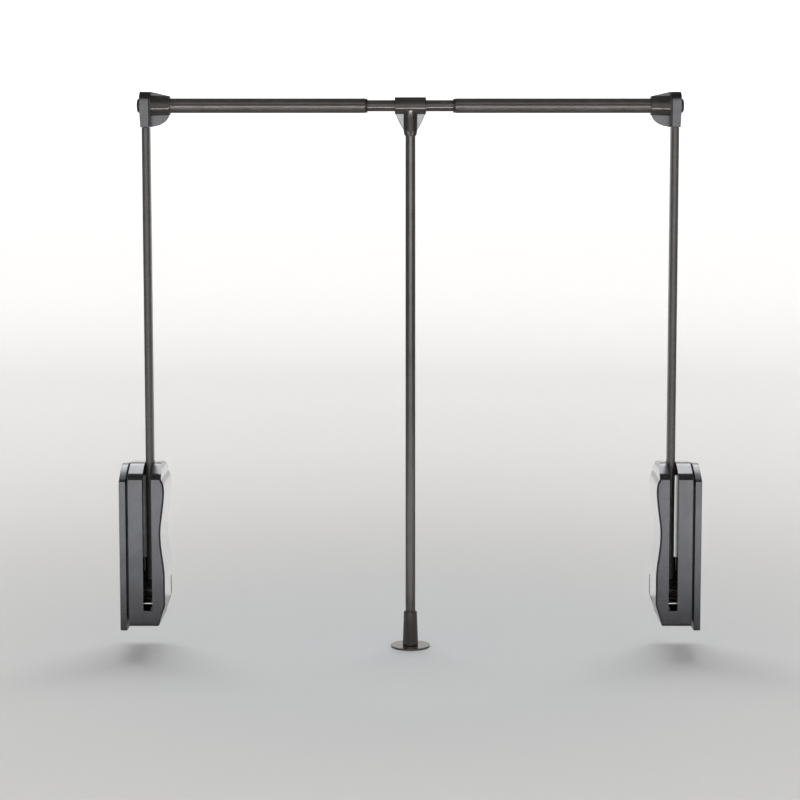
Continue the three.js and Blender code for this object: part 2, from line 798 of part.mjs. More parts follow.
// Handle: a tee that turns on the inner tube, a rod, and a foot with a disc
function tee() {
  const barrel = solidOf(turnedAlongX([
    [-teeLength / 2, 0],
    [-teeLength / 2, teeDiameter / 2 - sleeveChamfer],
    [-teeLength / 2 + sleeveChamfer, teeDiameter / 2],
    [teeLength / 2 - sleeveChamfer, teeDiameter / 2],
    [teeLength / 2, teeDiameter / 2 - sleeveChamfer],
    [teeLength / 2, 0],
  ], fineFacets));
  const socket = solidOf(turnedAlongZ([
    [-socketDrop, 0],
    [-socketDrop, socketMouthDiameter / 2],
    [-socketDrop + socketTaper, socketDiameter / 2],
    [0, socketDiameter / 2],
    [0, 0],
  ], fineFacets));
  const web = new THREE.Shape();
  const reach = teeLength / 2 - sleeveChamfer;
  const start = -teeDiameter / 2 + sleeveChamfer;
  web.moveTo(-reach, start);
  web.quadraticCurveTo(-reach + socketTaper / 2, (start - teeWebDrop) / 2, -socketMouthDiameter / 2, -teeWebDrop);
  web.lineTo(socketMouthDiameter / 2, -teeWebDrop);
  web.quadraticCurveTo(reach - socketTaper / 2, (start - teeWebDrop) / 2, reach, start);
  web.closePath();
  const webPlate = solidOf(prismAlongY(web, -teeWebThickness / 2, teeWebThickness / 2));
  return cut(join([barrel, socket, webPlate]), [
    rodX(-teeLength, teeLength, innerTubeDiameter + 2 * seatGap, fineFacets),
    rodZ(-socketDrop - cutOverrun, -handleTopDrop + seatGap, handleDiameter + 2 * seatGap, fineFacets),
  ]);
}

function footSleeve() {
  const bottom = discThickness + seatGap;
  const bore = handleDiameter / 2 + seatGap;
  const screwRoom = footScrewDiameter / 2 + seatGap;
  return turnedAlongZ([
    [bottom, screwRoom],
    [bottom, sleeveBottomDiameter / 2],
    [sleeveTop - sleeveChamfer, sleeveTopDiameter / 2],
    [sleeveTop, sleeveTopDiameter / 2 - sleeveChamfer],
    [sleeveTop, bore],
    [bottom + sleeveFloor, bore],
    [bottom + sleeveFloor, screwRoom],
    [bottom, screwRoom],
  ], fineFacets);
}

function footDisc() {
  const radius = discDiameter / 2;
  const room = footScrewDiameter / 2 + seatGap;
  return turnedAlongZ([
    [0, footScrewHead / 2 + seatGap],
    [0, radius - discSoftEdge],
    [discSoftEdge, radius],
    [discThickness - discSoftEdge, radius],
    [discThickness, radius - discSoftEdge],
    [discThickness, room],
    [footScrewHeadDepth + seatGap, room],
    [0, footScrewHead / 2 + seatGap],
  ], fineFacets);
}

function footScrew() {
  const bottom = seatGap;
  return turnedAlongZ([
    [bottom, 0],
    [bottom, footScrewHead / 2 - seatGap],
    [bottom + footScrewHeadDepth, footScrewDiameter / 2],
    [discThickness + sleeveFloor, footScrewDiameter / 2],
    [discThickness + sleeveFloor, 0],
  ], mediumFacets);
}

function handleRod() {
  const low = discThickness + seatGap + sleeveFloor + seatGap;
  const high = barHeight - handleTopDrop;
  const radius = handleDiameter / 2;
  return turnedAlongZ(sleeveProfile(low, high, radius - handleWall, radius), fineFacets);
}

// The scene: one unit on each side, mirrored, and the centre of the bar with its handle
function piece(name, geometry, material) {
  const mesh = new THREE.Mesh(weld(geometry), material);
  mesh.name = name;
  return mesh;
}

function solidPiece(name, solid, material) {
  return piece(name, geometryOf(solid), material);
}

function housingPieces(side) {
  const pinProfile = rodProfile(pinEndInner, pinEndOuter, pivotPinDiameter / 2, seatGap);
  const stopProfile = rodProfile(pinEndInner, pinEndOuter, stopPinDiameter / 2, seatGap);
  const stopPin = turnedAlongX(stopProfile, mediumFacets).translate(0, -stopPinForward, stopPinHeight);
  const shellScrew = screwAlongX(
    -slotHalf, shellOuter - seatGap,
    shellScrewDiameter, shellScrewHead, shellScrewHeadDepth, smallFacets,
  );
  return [
    solidPiece(`${side}_wall_plate`, wallPlate(), graphitePlastic()),
    solidPiece(`${side}_outer_shell`, outerShell(), graphitePlastic()),
    solidPiece(`${side}_inner_shell`, innerShell(), graphitePlastic()),
    solidPiece(`${side}_service_cover`, serviceCover(), graphitePlastic()),
    piece(`${side}_pivot_pin`, turnedAlongX(pinProfile, mediumFacets), brightSteel()),
    piece(`${side}_stop_pin`, stopPin, brightSteel()),
    piece(`${side}_gas_cylinder`, gasCylinder(), zincSteel()),
    piece(`${side}_fixing_screw`, fixingScrewAlongX(), zincSteel()),
    ...shellScrewPlaces.map(([y, z], index) => (
      piece(`${side}_shell_screw_${index + 1}`, shellScrew.clone().translate(0, y, z), zincSteel())
    )),
  ];
}

// The screw that draws the housing onto the wall plate, reached through the service cover
function fixingScrewAlongX() {
  const headLow = gearOuter - seatGap - fixingScrewHeadDepth;
  const headHigh = gearOuter - seatGap;
  const tip = plateOuter - shellWall - seatGap;
  return turnedAlongX([
    [headLow, 0],
    [headLow, fixingScrewHead / 2 - fixingScrewHeadDepth / 4],
    [headLow + fixingScrewHeadDepth / 4, fixingScrewHead / 2],
    [headHigh, fixingScrewHead / 2],
    [headHigh, fixingScrewDiameter / 2],
    [tip - fixingScrewDiameter / 4, fixingScrewDiameter / 2],
    [tip, fixingScrewDiameter / 4],
    [tip, 0],
  ], smallFacets).translate(0, ...fixingScrewPlace);
}

function liftPieces(side) {
  return [
    piece(`${side}_rack`, prismAlongX(rackOutline(), gearInner + seatGap, gearOuter), blackPlastic()),
    piece(`${side}_spring_rod`, springRod(), brightSteel()),
  ];
}

function armPieces(side) {
  const bushBore = pivotPinDiameter / 2 + seatGap;
  const bushOuter = bushBore + pivotBushWall;
  const innerBush = sleeveProfile(-armWidth / 2, armWidth / 2 - seatGap, bushBore, bushOuter);
  const outerBush = sleeveProfile(armWidth / 2, gearOuter, bushBore, bushOuter);
  return [
    solidPiece(`${side}_arm_foot`, armFoot(), zincSteel()),
    piece(`${side}_pivot_bush_inner`, turnedAlongX(innerBush, mediumFacets), blackPlastic()),
    piece(`${side}_pivot_bush_outer`, turnedAlongX(outerBush, mediumFacets), blackPlastic()),
    piece(`${side}_arm_tube`, armTube(), darkEnamel()),
    solidPiece(`${side}_arm_head`, armHead(), graphitePlastic()),
    piece(`${side}_head_bolt`, headBolt(), zincSteel()),
    piece(`${side}_head_cap`, headCap(), blackPlastic()),
    solidPiece(`${side}_end_connector`, endConnector(), darkEnamel()),
    piece(`${side}_outer_tube`, outerTube(), darkSteel()),
    piece(`${side}_tube_bush`, tubeBush(), blackPlastic()),
  ];
}

function sideUnit(side) {
  const unit = new THREE.Group();
  unit.add(...housingPieces(side), ...liftPieces(side), ...armPieces(side));
  unit.position.set(armPlane, 0, pivotHeight);
  const mirrored = new THREE.Group();
  mirrored.add(unit);
  mirrored.scale.x = side === 'left' ? -1 : 1;
  return mirrored;
}

function centrePieces() {
  const tubeProfile = sleeveProfile(-innerTubeLength / 2, innerTubeLength / 2, innerTubeBore / 2, innerTubeDiameter / 2);
  const innerTube = piece('inner_tube', turnedAlongX(tubeProfile, fineFacets), darkSteel());
  const teePiece = solidPiece('handle_tee', tee(), darkEnamel());
  innerTube.position.z = barHeight;
  teePiece.position.z = barHeight;
  return [
    innerTube,
    teePiece,
    piece('handle_rod', handleRod(), darkSteel()),
    piece('foot_sleeve', footSleeve(), darkEnamel()),
    piece('foot_disc', footDisc(), darkEnamel()),
    piece('foot_screw', footScrew(), zincSteel()),
  ];
}

const group = new THREE.Group();
group.add(sideUnit('left'), sideUnit('right'), ...centrePieces());

export default group;
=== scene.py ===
# %% [markdown]
# # Pull down closet rod
# Two housings are screwed to the sides of a wardrobe. A spring-lifted arm stands in each one, and the
# arms carry a telescopic bar with a handle in its middle. The mechanical model comes first, as a frame
# that is never moved. Every piece made here sits in that frame, in metres, and rides on one of its bodies.

# %% Load the frame
import math

import bmesh
import bpy
from mathutils import Matrix, Vector


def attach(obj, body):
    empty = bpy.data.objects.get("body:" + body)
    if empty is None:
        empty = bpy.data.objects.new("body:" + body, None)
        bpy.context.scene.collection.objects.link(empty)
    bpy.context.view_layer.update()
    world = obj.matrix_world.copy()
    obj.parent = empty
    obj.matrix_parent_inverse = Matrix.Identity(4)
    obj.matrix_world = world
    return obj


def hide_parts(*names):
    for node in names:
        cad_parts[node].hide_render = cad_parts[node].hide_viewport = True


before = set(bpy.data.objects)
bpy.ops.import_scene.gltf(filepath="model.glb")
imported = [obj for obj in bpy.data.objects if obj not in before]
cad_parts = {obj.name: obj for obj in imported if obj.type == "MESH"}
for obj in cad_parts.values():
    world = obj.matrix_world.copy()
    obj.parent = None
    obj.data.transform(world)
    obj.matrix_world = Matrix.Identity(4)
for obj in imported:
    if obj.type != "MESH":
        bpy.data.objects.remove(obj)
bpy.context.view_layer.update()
mm = 0.001

# %% [markdown]
# ## Camera
# The picture was taken from straight ahead with a long lens, so the two sides look alike and nearly flat.
# A long lens far away keeps the uprights nearly parallel. The camera stands a little below the bar and
# looks slightly down, which shows a sliver of the housings' crowns and of the foot's disc.

# %% Place the camera
camera_distance = 3.4
camera_height = 0.811
camera_pitch = math.radians(6)
upright_turn = math.radians(90)
lens_mm = 101.1
sensor_mm = 36
shift_across = -0.013
shift_up = -0.0576

camera_data = bpy.data.cameras.new("studio_camera")
camera_data.lens = lens_mm
camera_data.sensor_width = sensor_mm
camera_data.shift_x = shift_across
camera_data.shift_y = shift_up
camera = bpy.data.objects.new("studio_camera", camera_data)
camera.location = (0, -camera_distance, camera_height)
camera.rotation_euler = (upright_turn - camera_pitch, 0, 0)
bpy.context.scene.collection.objects.link(camera)
bpy.context.scene.camera = camera
print("camera at", tuple(round(place, 3) for place in camera.location))

# %% [markdown]
# ## Small tools for materials
# Colours are picked on a screen as sRGB hex values, but a shader works with linear light, so one function
# turns them. Another adds a node with its settings, values and links, and serves every kind of node. A
# third makes a shader the surface of its material.

# %% Colour and node helpers
srgb_knee = 0.04045
srgb_slope = 12.92
srgb_offset = 0.055
srgb_power = 2.4
white_level = 255


def linear(hex_colour):
    """A hex colour such as #808080 as linear red, green, blue and full alpha."""
    channels = []
    for place in (1, 3, 5):
        level = int(hex_colour[place:place + 2], 16) / white_level
        bent = ((level + srgb_offset) / (1 + srgb_offset)) ** srgb_power
        channels.append(bent if level > srgb_knee else level / srgb_slope)
    return (*channels, 1)


def add_node(material, kind, settings, inputs):
    """A new node; an input is a value or the socket that feeds it."""
    node = material.node_tree.nodes.new(kind)
    for name, value in settings.items():
        setattr(node, name, value)
    for name, value in inputs.items():
        if isinstance(value, bpy.types.NodeSocket):
            material.node_tree.links.new(value, node.inputs[name])
        else:
            node.inputs[name].default_value = value
    return node


def new_material(name):
    """An empty node material."""
    material = bpy.data.materials.new(name)
    material.use_nodes = True
    material.node_tree.nodes.clear()
    return material


def surfaced(material, kind, inputs):
    """The material, with a shader of the given kind as its surface."""
    shader = add_node(material, kind, {}, inputs)
    add_node(material, "ShaderNodeOutputMaterial", {}, {"Surface": shader.outputs["BSDF"]})
    return material


print("mid grey in linear light:", round(linear("#808080")[0], 3))

# %% [markdown]
# ## Pattern helpers
# Nearly every finish here needs the same few things: an even grain from noise, a range that turns the
# grain into a roughness, a tone that drifts in wide clouds, and a bump. A stretched noise stands for lines
# drawn along a tube.


# %% Noise, range, tone and bump
def grain(material, size, stretch=(1, 1, 1), detail=2):
    """Noise with features about size metres wide, in the piece's own coordinates."""
    place = add_node(material, "ShaderNodeTexCoord", {}, {})
    mapping = add_node(
        material, "ShaderNodeMapping", {},
        {"Vector": place.outputs["Object"], "Scale": stretch},
    )
    noise = add_node(
        material, "ShaderNodeTexNoise", {},
        {"Vector": mapping.outputs["Vector"], "Scale": 1 / size, "Detail": detail},
    )
    return noise.outputs["Fac"]


def ranged(material, value, low, high):
    """A value spread between low and high."""
    spread = add_node(
        material, "ShaderNodeMapRange", {},
        {"Value": value, "From Min": noise_low, "From Max": noise_high, "To Min": low, "To Max": high},
    )
    return spread.outputs["Result"]


def roughened(material, pattern, roughness):
    """A roughness that follows a pattern a little up and down."""
    return ranged(material, pattern, roughness - roughness_spread, roughness + roughness_spread)


def between(material, share, first, second):
    """A colour between two hex colours."""
    mix = add_node(
        material, "ShaderNodeMix", {"data_type": "RGBA"},
        {"Factor": share, "A": linear(first), "B": linear(second)},
    )
    return mix.outputs["Result"]


def cloudy(material, dark, light):
    """A tone that drifts between two hex colours in wide clouds."""
    return between(material, ranged(material, grain(material, cloud_size), 0, 1), dark, light)


def bump(material, height, depth, strength):
    """A surface that rises by depth metres where height is 1."""
    relief = add_node(
        material, "ShaderNodeBump", {},
        {"Height": height, "Distance": depth, "Strength": strength},
    )
    return relief.outputs["Normal"]


noise_low = 0.3
noise_high = 0.7
roughness_spread = 0.05
cloud_size = 26 * mm
print("helpers for grain, range, tone and bump are ready")

# %% [markdown]
# ## Materials of the housings and arm heads
# The housings are moulded in graphite-coloured ABS with a satin face. Moulding leaves a fine leathery
# grain, and the flakes in the plastic give small light specks. The real grain is finer than a pixel, so
# it is drawn about three times as wide. Small parts and the insides are a plainer black ABS; inside the
# slot that black also stands for the shade there, so it is partly painted shade. The broken edges round
# the fronts get a dark finish of their own, which is a painted dark reflection.

# %% Moulded plastics
plastic_ior = 1.53


def moulded_plastic(name, dark, light, roughness, grain_size, flake_share, metallic=0, coat=0):
    """ABS with a fine grain, a cloudy tone and small light flakes, plain or under metallic paint."""
    material = new_material(name)
    fine = grain(material, grain_size)
    flakes = add_node(
        material, "ShaderNodeMapRange", {},
        {"Value": grain(material, flake_size, detail=0), "From Min": flake_start, "From Max": noise_high,
         "To Min": 0, "To Max": flake_share},
    )
    speckled = add_node(
        material, "ShaderNodeMix", {"data_type": "RGBA"},
        {"Factor": flakes.outputs["Result"], "A": cloudy(material, dark, light), "B": linear(flake_colour)},
    )
    return surfaced(
        material, "ShaderNodeBsdfPrincipled",
        {
            "Base Color": speckled.outputs["Result"],
            "Metallic": metallic,
            "Roughness": roughened(material, fine, roughness),
            "IOR": plastic_ior,
            "Coat Weight": coat,
            "Coat Roughness": coat_roughness,
            "Normal": bump(material, fine, grain_depth, grain_strength),
        },
    )


flake_size = 0.7 * mm
flake_start = 0.56
flake_colour = "#a4a6ac"
grain_depth = 0.02 * mm
grain_strength = 0.5
coat_roughness = 0.15
leather_grain = 0.9 * mm
plain_grain = 0.7 * mm
graphite_abs = moulded_plastic(
    "graphite_painted_abs", "#5b5c60", "#646569", roughness=0.24, grain_size=leather_grain,
    flake_share=0.12, metallic=0.85, coat=0.25,
)
black_abs = moulded_plastic(
    "black_abs_moulded", "#141414", "#1b1b1c", roughness=0.4, grain_size=plain_grain, flake_share=0.02,
)
# Painted dark reflection: this finish darkens the broken front edges of the housings.
abs_for_painted_dark_edges = moulded_plastic(
    "abs_with_painted_dark_reflection", "#2b2929", "#322f2f", roughness=0.45, grain_size=leather_grain, flake_share=0.02,
)
housing_finishes = (graphite_abs, black_abs, abs_for_painted_dark_edges)
painted_dark_edges_slot = housing_finishes.index(abs_for_painted_dark_edges)
seam_painted_shade_slot = housing_finishes.index(black_abs)
print("plastics:", [finish.name for finish in housing_finishes])

# %% [markdown]
# ## Materials of the metal parts
# Arms, tee, connectors and disc are steel and zinc castings under a dark bronze-grey enamel that was
# baked on, which leaves a faint orange peel. The flat webs of the castings catch more light than the
# round forms beside them, and that light is painted on: their faces get lighter copies of the enamel,
# the connectors' webs a dimmer one. The tubes carry a thinner coat, and the lines of the drawing die run
# along them. Pins are ground bright, and the gas cylinder and screws are zinc plated.


# %% Enamel, coated tube and plated steel
def baked_enamel(name, dark, light, roughness, edge="#4c4b4a"):
    """Metallic enamel with a faint orange peel; edge tints what it mirrors at a grazing angle."""
    material = new_material(name)
    peel = grain(material, peel_size)
    return surfaced(
        material, "ShaderNodeBsdfPrincipled",
        {
            "Base Color": cloudy(material, dark, light),
            "Metallic": enamel_metal_share,
            "Roughness": roughened(material, peel, roughness),
            "Specular Tint": linear(edge),
            "Normal": bump(material, peel, peel_depth, peel_strength),
            "Coat Weight": enamel_coat,
            "Coat Roughness": enamel_coat_roughness,
        },
    )


def drawn_metal(name, dark, light, roughness, stretch, metallic, edge="#ffffff"):
    """Metal with fine lines along one axis from drawing or grinding, and a cloudy tone."""
    material = new_material(name)
    lines = grain(material, line_size, stretch)
    return surfaced(
        material, "ShaderNodeBsdfPrincipled",
        {
            "Base Color": cloudy(material, dark, light),
            "Metallic": metallic,
            "Specular Tint": linear(edge),
            "Roughness": roughened(material, lines, roughness),
            "Normal": bump(material, lines, line_depth, line_strength),
        },
    )


peel_size = 1.6 * mm
peel_depth = 0.01 * mm
peel_strength = 0.4
enamel_metal_share = 0.4
enamel_coat = 0.1
enamel_coat_roughness = 0.12
line_size = 0.6 * mm
line_depth = 0.006 * mm
line_strength = 0.2
along_x = (0.003, 1, 1)
along_z = (1, 1, 0.003)
round_x = (1, 0.05, 0.05)
dark_enamel = baked_enamel("dark_enamel_baked", "#4c4947", "#545150", roughness=0.2)
# The two lighter web enamels are painted light: they stand for the light that the flat webs catch.
webs_painted_light_enamel = baked_enamel("enamel_of_webs_painted_light", "#a4a5a9", "#b2b3b7", roughness=0.3)
webs_dimmer_painted_light_enamel = baked_enamel("enamel_of_webs_dimmer_painted_light", "#727377", "#7c7d81", roughness=0.3)
casting_finishes = (dark_enamel, webs_painted_light_enamel)
connector_finishes = (dark_enamel, webs_dimmer_painted_light_enamel)
webs_painted_light_slot = casting_finishes.index(webs_painted_light_enamel)
arm_enamel = baked_enamel("arm_enamel_baked", "#686766", "#706f6e", roughness=0.3)
disc_enamel = baked_enamel("disc_enamel_baked", "#565351", "#5e5b59", roughness=0.2, edge="#c8c2be")
tube_coat = {"dark": "#5a5755", "light": "#636160", "metallic": 0.4, "edge": "#4c4b4a"}
bar_coat = drawn_metal("coated_steel_drawn_along_bar", roughness=0.13, stretch=along_x, **tube_coat)
rod_coat = drawn_metal("coated_steel_drawn_along_rod", roughness=0.18, stretch=along_z, **tube_coat)
zinc_plate = drawn_metal(
    "zinc_plated_steel_turned", "#cfcfca", "#e2e2dd", roughness=0.35, stretch=round_x, metallic=0.5,
)
ground_steel = drawn_metal(
    "bright_steel_ground", "#c4c4c2", "#d6d6d4", roughness=0.18, stretch=round_x, metallic=1,
)
enamels = (*connector_finishes, webs_painted_light_enamel, arm_enamel, disc_enamel)
metals = (*enamels, bar_coat, rod_coat, zinc_plate, ground_steel)
print("metals:", [finish.name for finish in metals])

# %% [markdown]
# ## Tools for shapes
# A flat outline pushed along an axis gives plates, webs and tubes, and a profile spun round an axis gives
# turned parts. Planes cut off what lies beyond them, and booleans join or subtract whole forms, as the
# moulds and tools do on the real parts. Curves are worked out once here, from their handles.


# %% Curves
def bezier(handles, steps):
    """Points along a curve drawn by its handles, without the first one."""
    points = []
    for step in range(1, steps + 1):
        line = [Vector(handle) for handle in handles]
        while len(line) > 1:
            line = [start.lerp(end, step / steps) for start, end in zip(line, line[1:])]
        points.append(line[0])
    return points


def softened(points, radius, steps=4, closed=True):
    """The same outline with every corner rounded off."""
    places = [Vector(point) for point in points]
    result = []
    for index, place in enumerate(places):
        if not closed and index in (0, len(places) - 1):
            result.append(place)
            continue
        before, after = places[index - 1], places[(index + 1) % len(places)]
        reach = min(radius, (before - place).length * half_share, (after - place).length * half_share)
        start = place + (before - place).normalized() * reach
        end = place + (after - place).normalized() * reach
        result += [start, *bezier([start, place, end], steps)]
    return result


half_share = 0.48
print("a softened square has", len(softened([(0, 0), (1, 0), (1, 1), (0, 1)], 1)), "points")


# %% Prisms and turned forms
ways = {"x": (1, 0, 0), "y": (0, 1, 0), "z": (0, 0, 1)}


def prism(outline, low, high, axis, rim=0):
    """A flat outline pushed along an axis; rim rounds the edges of both ends."""
    place = {
        "x": lambda first, second: (low, first, second),
        "y": lambda first, second: (first, low, second),
        "z": lambda first, second: (first, second, low),
    }[axis]
    form = bmesh.new()
    face = form.faces.new([form.verts.new(place(*point)) for point in outline])
    pushed = bmesh.ops.extrude_face_region(form, geom=[face], use_keep_orig=True)
    far_end = [part for part in pushed["geom"] if isinstance(part, bmesh.types.BMVert)]
    way = Vector(ways[axis])
    bmesh.ops.translate(form, verts=far_end, vec=way * (high - low))
    bmesh.ops.recalc_face_normals(form, faces=form.faces)
    if rim:
        ends = [face for face in form.faces if abs(face.normal.dot(way)) > end_face_share]
        edges = {edge for face in ends for edge in face.edges}
        bevel_edges(form, edges, rim)
    return form


def paint_ends(form, axis, slot):
    """Gives the faces square to an axis the finish of a material slot."""
    place = "xyz".index(axis)
    for face in form.faces:
        if abs(face.normal[place]) > end_face_share:
            face.material_index = slot
    return form


def bevel_edges(form, edges, width, flat=False, slot=-1):
    """Rounds the given edges, or breaks them with one flat face; slot picks the finish of the new faces."""
    bmesh.ops.bevel(
        form, geom=list(edges), offset=width, offset_type="OFFSET", affect="EDGES",
        segments=1 if flat else bevel_segments, profile=round_profile, material=slot, clamp_overlap=True,
    )


def turned(profile, axis, steps):
    """A profile of places along an axis and radii, spun into a closed form."""
    place = {
        "x": lambda along, radius: (along, radius, 0),
        "y": lambda along, radius: (radius, along, 0),
        "z": lambda along, radius: (radius, 0, along),
    }[axis]
    form = bmesh.new()
    line = [form.verts.new(place(*point)) for point in profile]
    edges = [form.edges.new(pair) for pair in zip(line, line[1:])]
    bmesh.ops.spin(
        form, geom=line + edges, cent=(0, 0, 0), axis=ways[axis],
        angle=2 * math.pi, steps=steps, use_merge=True,
    )
    bmesh.ops.remove_doubles(form, verts=form.verts, dist=merge_distance)
    bmesh.ops.recalc_face_normals(form, faces=form.faces)
    return form


def moved(form, across=0, forward=0, up=0):
    """The form, moved."""
    bmesh.ops.translate(form, verts=form.verts, vec=(across, forward, up))
    return form


def rod(low, high, diameter, axis="x", steps=32):
    """A plain round bar along an axis, used for bores and bosses."""
    radius = diameter / 2
    return turned([(low, 0), (low, radius), (high, radius), (high, 0)], axis, steps)


def box(low, high):
    """A block between two corners."""
    form = bmesh.new()
    bmesh.ops.create_cube(form, size=1)
    size = Vector(high) - Vector(low)
    bmesh.ops.scale(form, verts=form.verts, vec=size)
    bmesh.ops.translate(form, verts=form.verts, vec=Vector(low) + size / 2)
    return form


end_face_share = 0.999
bevel_segments = 3
round_profile = 0.5
merge_distance = 1e-7
print("a test rod has", len(rod(0, 1, 1).faces), "faces")


# %% Cuts and joins
def trimmed(form, place, way):
    """The form without what lies beyond a plane, closed again by a face in the first finish."""
    everything = [*form.verts, *form.edges, *form.faces]
    bmesh.ops.bisect_plane(
        form, geom=everything, dist=merge_distance, plane_co=place, plane_no=way, clear_outer=True,
    )
    rim = [edge for edge in form.edges if edge.is_boundary]
    if rim:
        for face in bmesh.ops.holes_fill(form, edges=rim, sides=0)["faces"]:
            face.material_index = 0
    return form


def holder_of(form, name, finishes):
    """A passing object that holds a form for a boolean."""
    mesh = bpy.data.meshes.new(name)
    form.to_mesh(mesh)
    form.free()
    for finish in finishes:
        mesh.materials.append(finish)
    holder = bpy.data.objects.new(name, mesh)
    bpy.context.scene.collection.objects.link(holder)
    return holder


def combined(base, tools, operation, outside=(), inside=()):
    """The base with every tool joined, subtracted or intersected; the faces keep the finishes they had."""
    carrier = holder_of(base, "carrier", outside)
    holders = [holder_of(tool, "tool", inside) for tool in tools]
    for holder in holders:
        step = carrier.modifiers.new("step", "BOOLEAN")
        step.operation = operation
        step.solver = "EXACT"
        step.material_mode = "TRANSFER"
        step.object = holder
    depsgraph = bpy.context.evaluated_depsgraph_get()
    mesh = bpy.data.meshes.new_from_object(carrier.evaluated_get(depsgraph))
    result = bmesh.new()
    result.from_mesh(mesh)
    for passing in (carrier, *holders):
        old = passing.data
        bpy.data.objects.remove(passing)
        bpy.data.meshes.remove(old)
    bpy.data.meshes.remove(mesh)
    return result


print("cuts and joins are ready")


# %% Finished pieces
made_pieces = {}
weld_distance = 2e-6
sharp_angle = math.radians(38)


def finish_piece(form, name, body, replaced, slot, *materials):
    """Makes the form a scene object that rides on its body and stands for its frame nodes."""
    bmesh.ops.remove_doubles(form, verts=form.verts, dist=weld_distance)
    bmesh.ops.dissolve_degenerate(form, edges=form.edges, dist=weld_distance)
    loose = [edge for edge in form.edges if not edge.link_faces]
    bmesh.ops.delete(form, geom=loose, context="EDGES")
    mesh = bpy.data.meshes.new(name)
    form.to_mesh(mesh)
    open_edges = sum(not edge.is_manifold for edge in form.edges)
    form.free()
    for material in materials:
        mesh.materials.append(material)
    mesh.polygons.foreach_set("use_smooth", [True] * len(mesh.polygons))
    mesh.set_sharp_from_angle(angle=sharp_angle)
    piece = bpy.data.objects.new(name, mesh)
    bpy.context.scene.collection.objects.link(piece)
    weighted = piece.modifiers.new("even_faces", "WEIGHTED_NORMAL")
    weighted.keep_sharp = True
    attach(piece, body)
    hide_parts(*replaced)
    made_pieces[name] = piece
    print(name, "faces:", len(mesh.polygons), "open edges:", open_edges)
    return piece


def on_side(form, side):
    """A form drawn from the pivot, x outwards, set in place on the left or right."""
    moved(form, across=arm_plane, up=pivot_height)
    if side == "left":
        bmesh.ops.scale(form, verts=form.verts, vec=(-1, 1, 1))
        bmesh.ops.reverse_faces(form, faces=form.faces)
    return form


def finish_pair(form, node, making, body, slot, *materials):
    """Makes the left and right pieces of a form, each for its own frame node."""
    for side in sides:
        finish_piece(
            on_side(form.copy(), side), f"{side}_{node}_{making}", f"{side}_{body}",
            [f"{side}_{node}"], slot, *materials,
        )
    form.free()


# %% [markdown]
# ## Main sizes
# All sizes are those of the frame, so that every piece lands on the solid it stands for. The side units
# are drawn once, from the pivot of the arm with x pointing outwards, and then set left and right.

# %% Sizes shared by several pieces
overall_width = 880 * mm
bar_height = 829 * mm
arm_reach = 741 * mm
seat_gap = 0.3 * mm
overrun = 5 * mm
sides = ("left", "right")

housing_front = 52.5 * mm
housing_back = 52.5 * mm
housing_below = 45 * mm
housing_height = 225 * mm
crown_rise = 20 * mm
crown_bevel = 7 * mm
back_round = 34 * mm
housing_corner = 5 * mm
front_chamfer = 2.6 * mm
shell_wall = 2.4 * mm
slot_width = 13.5 * mm
slot_below = 21 * mm
slot_lip = 8 * mm
plate_thickness = 10 * mm
seam_width = 3.6 * mm

arm_width = 12 * mm
arm_depth = 25 * mm
arm_wall = 1.5 * mm
arm_foot_height = 20 * mm
tang_length = 34 * mm

outer_half_width = 21.65 * mm
inner_half_width = 19.25 * mm
slot_half = slot_width / 2
shell_outer = slot_half + outer_half_width
shell_inner = slot_half + inner_half_width
plate_inner = shell_outer + seam_width
plate_outer = plate_inner + plate_thickness
arm_plane = overall_width / 2 - plate_outer
pivot_height = bar_height - arm_reach
housing_above = housing_height - housing_below
fine_steps = 64
medium_steps = 40
small_steps = 24
print("arm plane:", round(arm_plane / mm), "mm, pivot height:", round(pivot_height / mm), "mm")

# %% [markdown]
# ## Outlines of the housing
# Seen from the side, the housing has a low crown that is highest in the middle, a small slant at its
# front edge and a wide round at its back. Seen from the front, its inner side waves in and out, so that
# hanging clothes slide past it. The wave is a smooth curve through a few places.


# %% Side and front outlines
def side_outline(inset, below, above, rise, slant):
    """The housing or its plate from the side, as places forward and up."""
    front, back = inset - housing_front, housing_back - inset
    bottom, edge, crest = inset - below, above - inset, above + rise - inset
    corner = max(housing_corner - inset, housing_corner / 4)
    slant_top = Vector((front + slant, edge + slant))
    middle = (front + back) / 2
    outline = [Vector((front + corner, bottom)), Vector((back - corner, bottom))]
    outline += bezier([(back - corner, bottom), (back, bottom), (back, bottom + corner)], corner_steps)
    outline.append(Vector((back, crest - back_round)))
    outline += bezier([
        (back, crest - back_round), (back, crest - back_round / 3),
        (back - back_round / 2, crest), (middle, crest),
    ], crown_steps)
    slant_handle = (slant_top.x + back_round / 2, (slant_top.y + crest) / 2)
    outline += bezier([
        (middle, crest), (middle - back_round / 2, crest), slant_handle, slant_top,
    ], crown_steps)
    outline += [Vector((front, edge)), Vector((front, bottom + corner))]
    foot = [(front, bottom + corner), (front, bottom), (front + corner, bottom)]
    return outline + bezier(foot, corner_steps)[:-1]


def front_outline(inset):
    """The housing from the front, as places across and up."""
    outer = shell_outer - inset
    bottom, top = inset - housing_below, housing_above + crown_rise - inset
    places = [
        Vector((inset - width_share * shell_inner, height_share * housing_height - housing_below))
        for width_share, height_share in wave_shares
    ]
    outline = [Vector((outer, bottom)), Vector((outer, top)), Vector((places[0].x + crown_bevel, top))]
    outline += bezier([outline[-1], (places[0].x, top), places[0]], crown_steps)
    outline += through(places, wave_steps)
    slant_start = Vector((inset - shell_inner, slant_start_share * housing_height - housing_below))
    foot = inset - slant_end_share * shell_inner
    outline += [slant_start, Vector((foot, bottom + housing_corner))]
    outline += bezier([outline[-1], (foot, bottom), (foot + housing_corner, bottom)], corner_steps)
    return outline


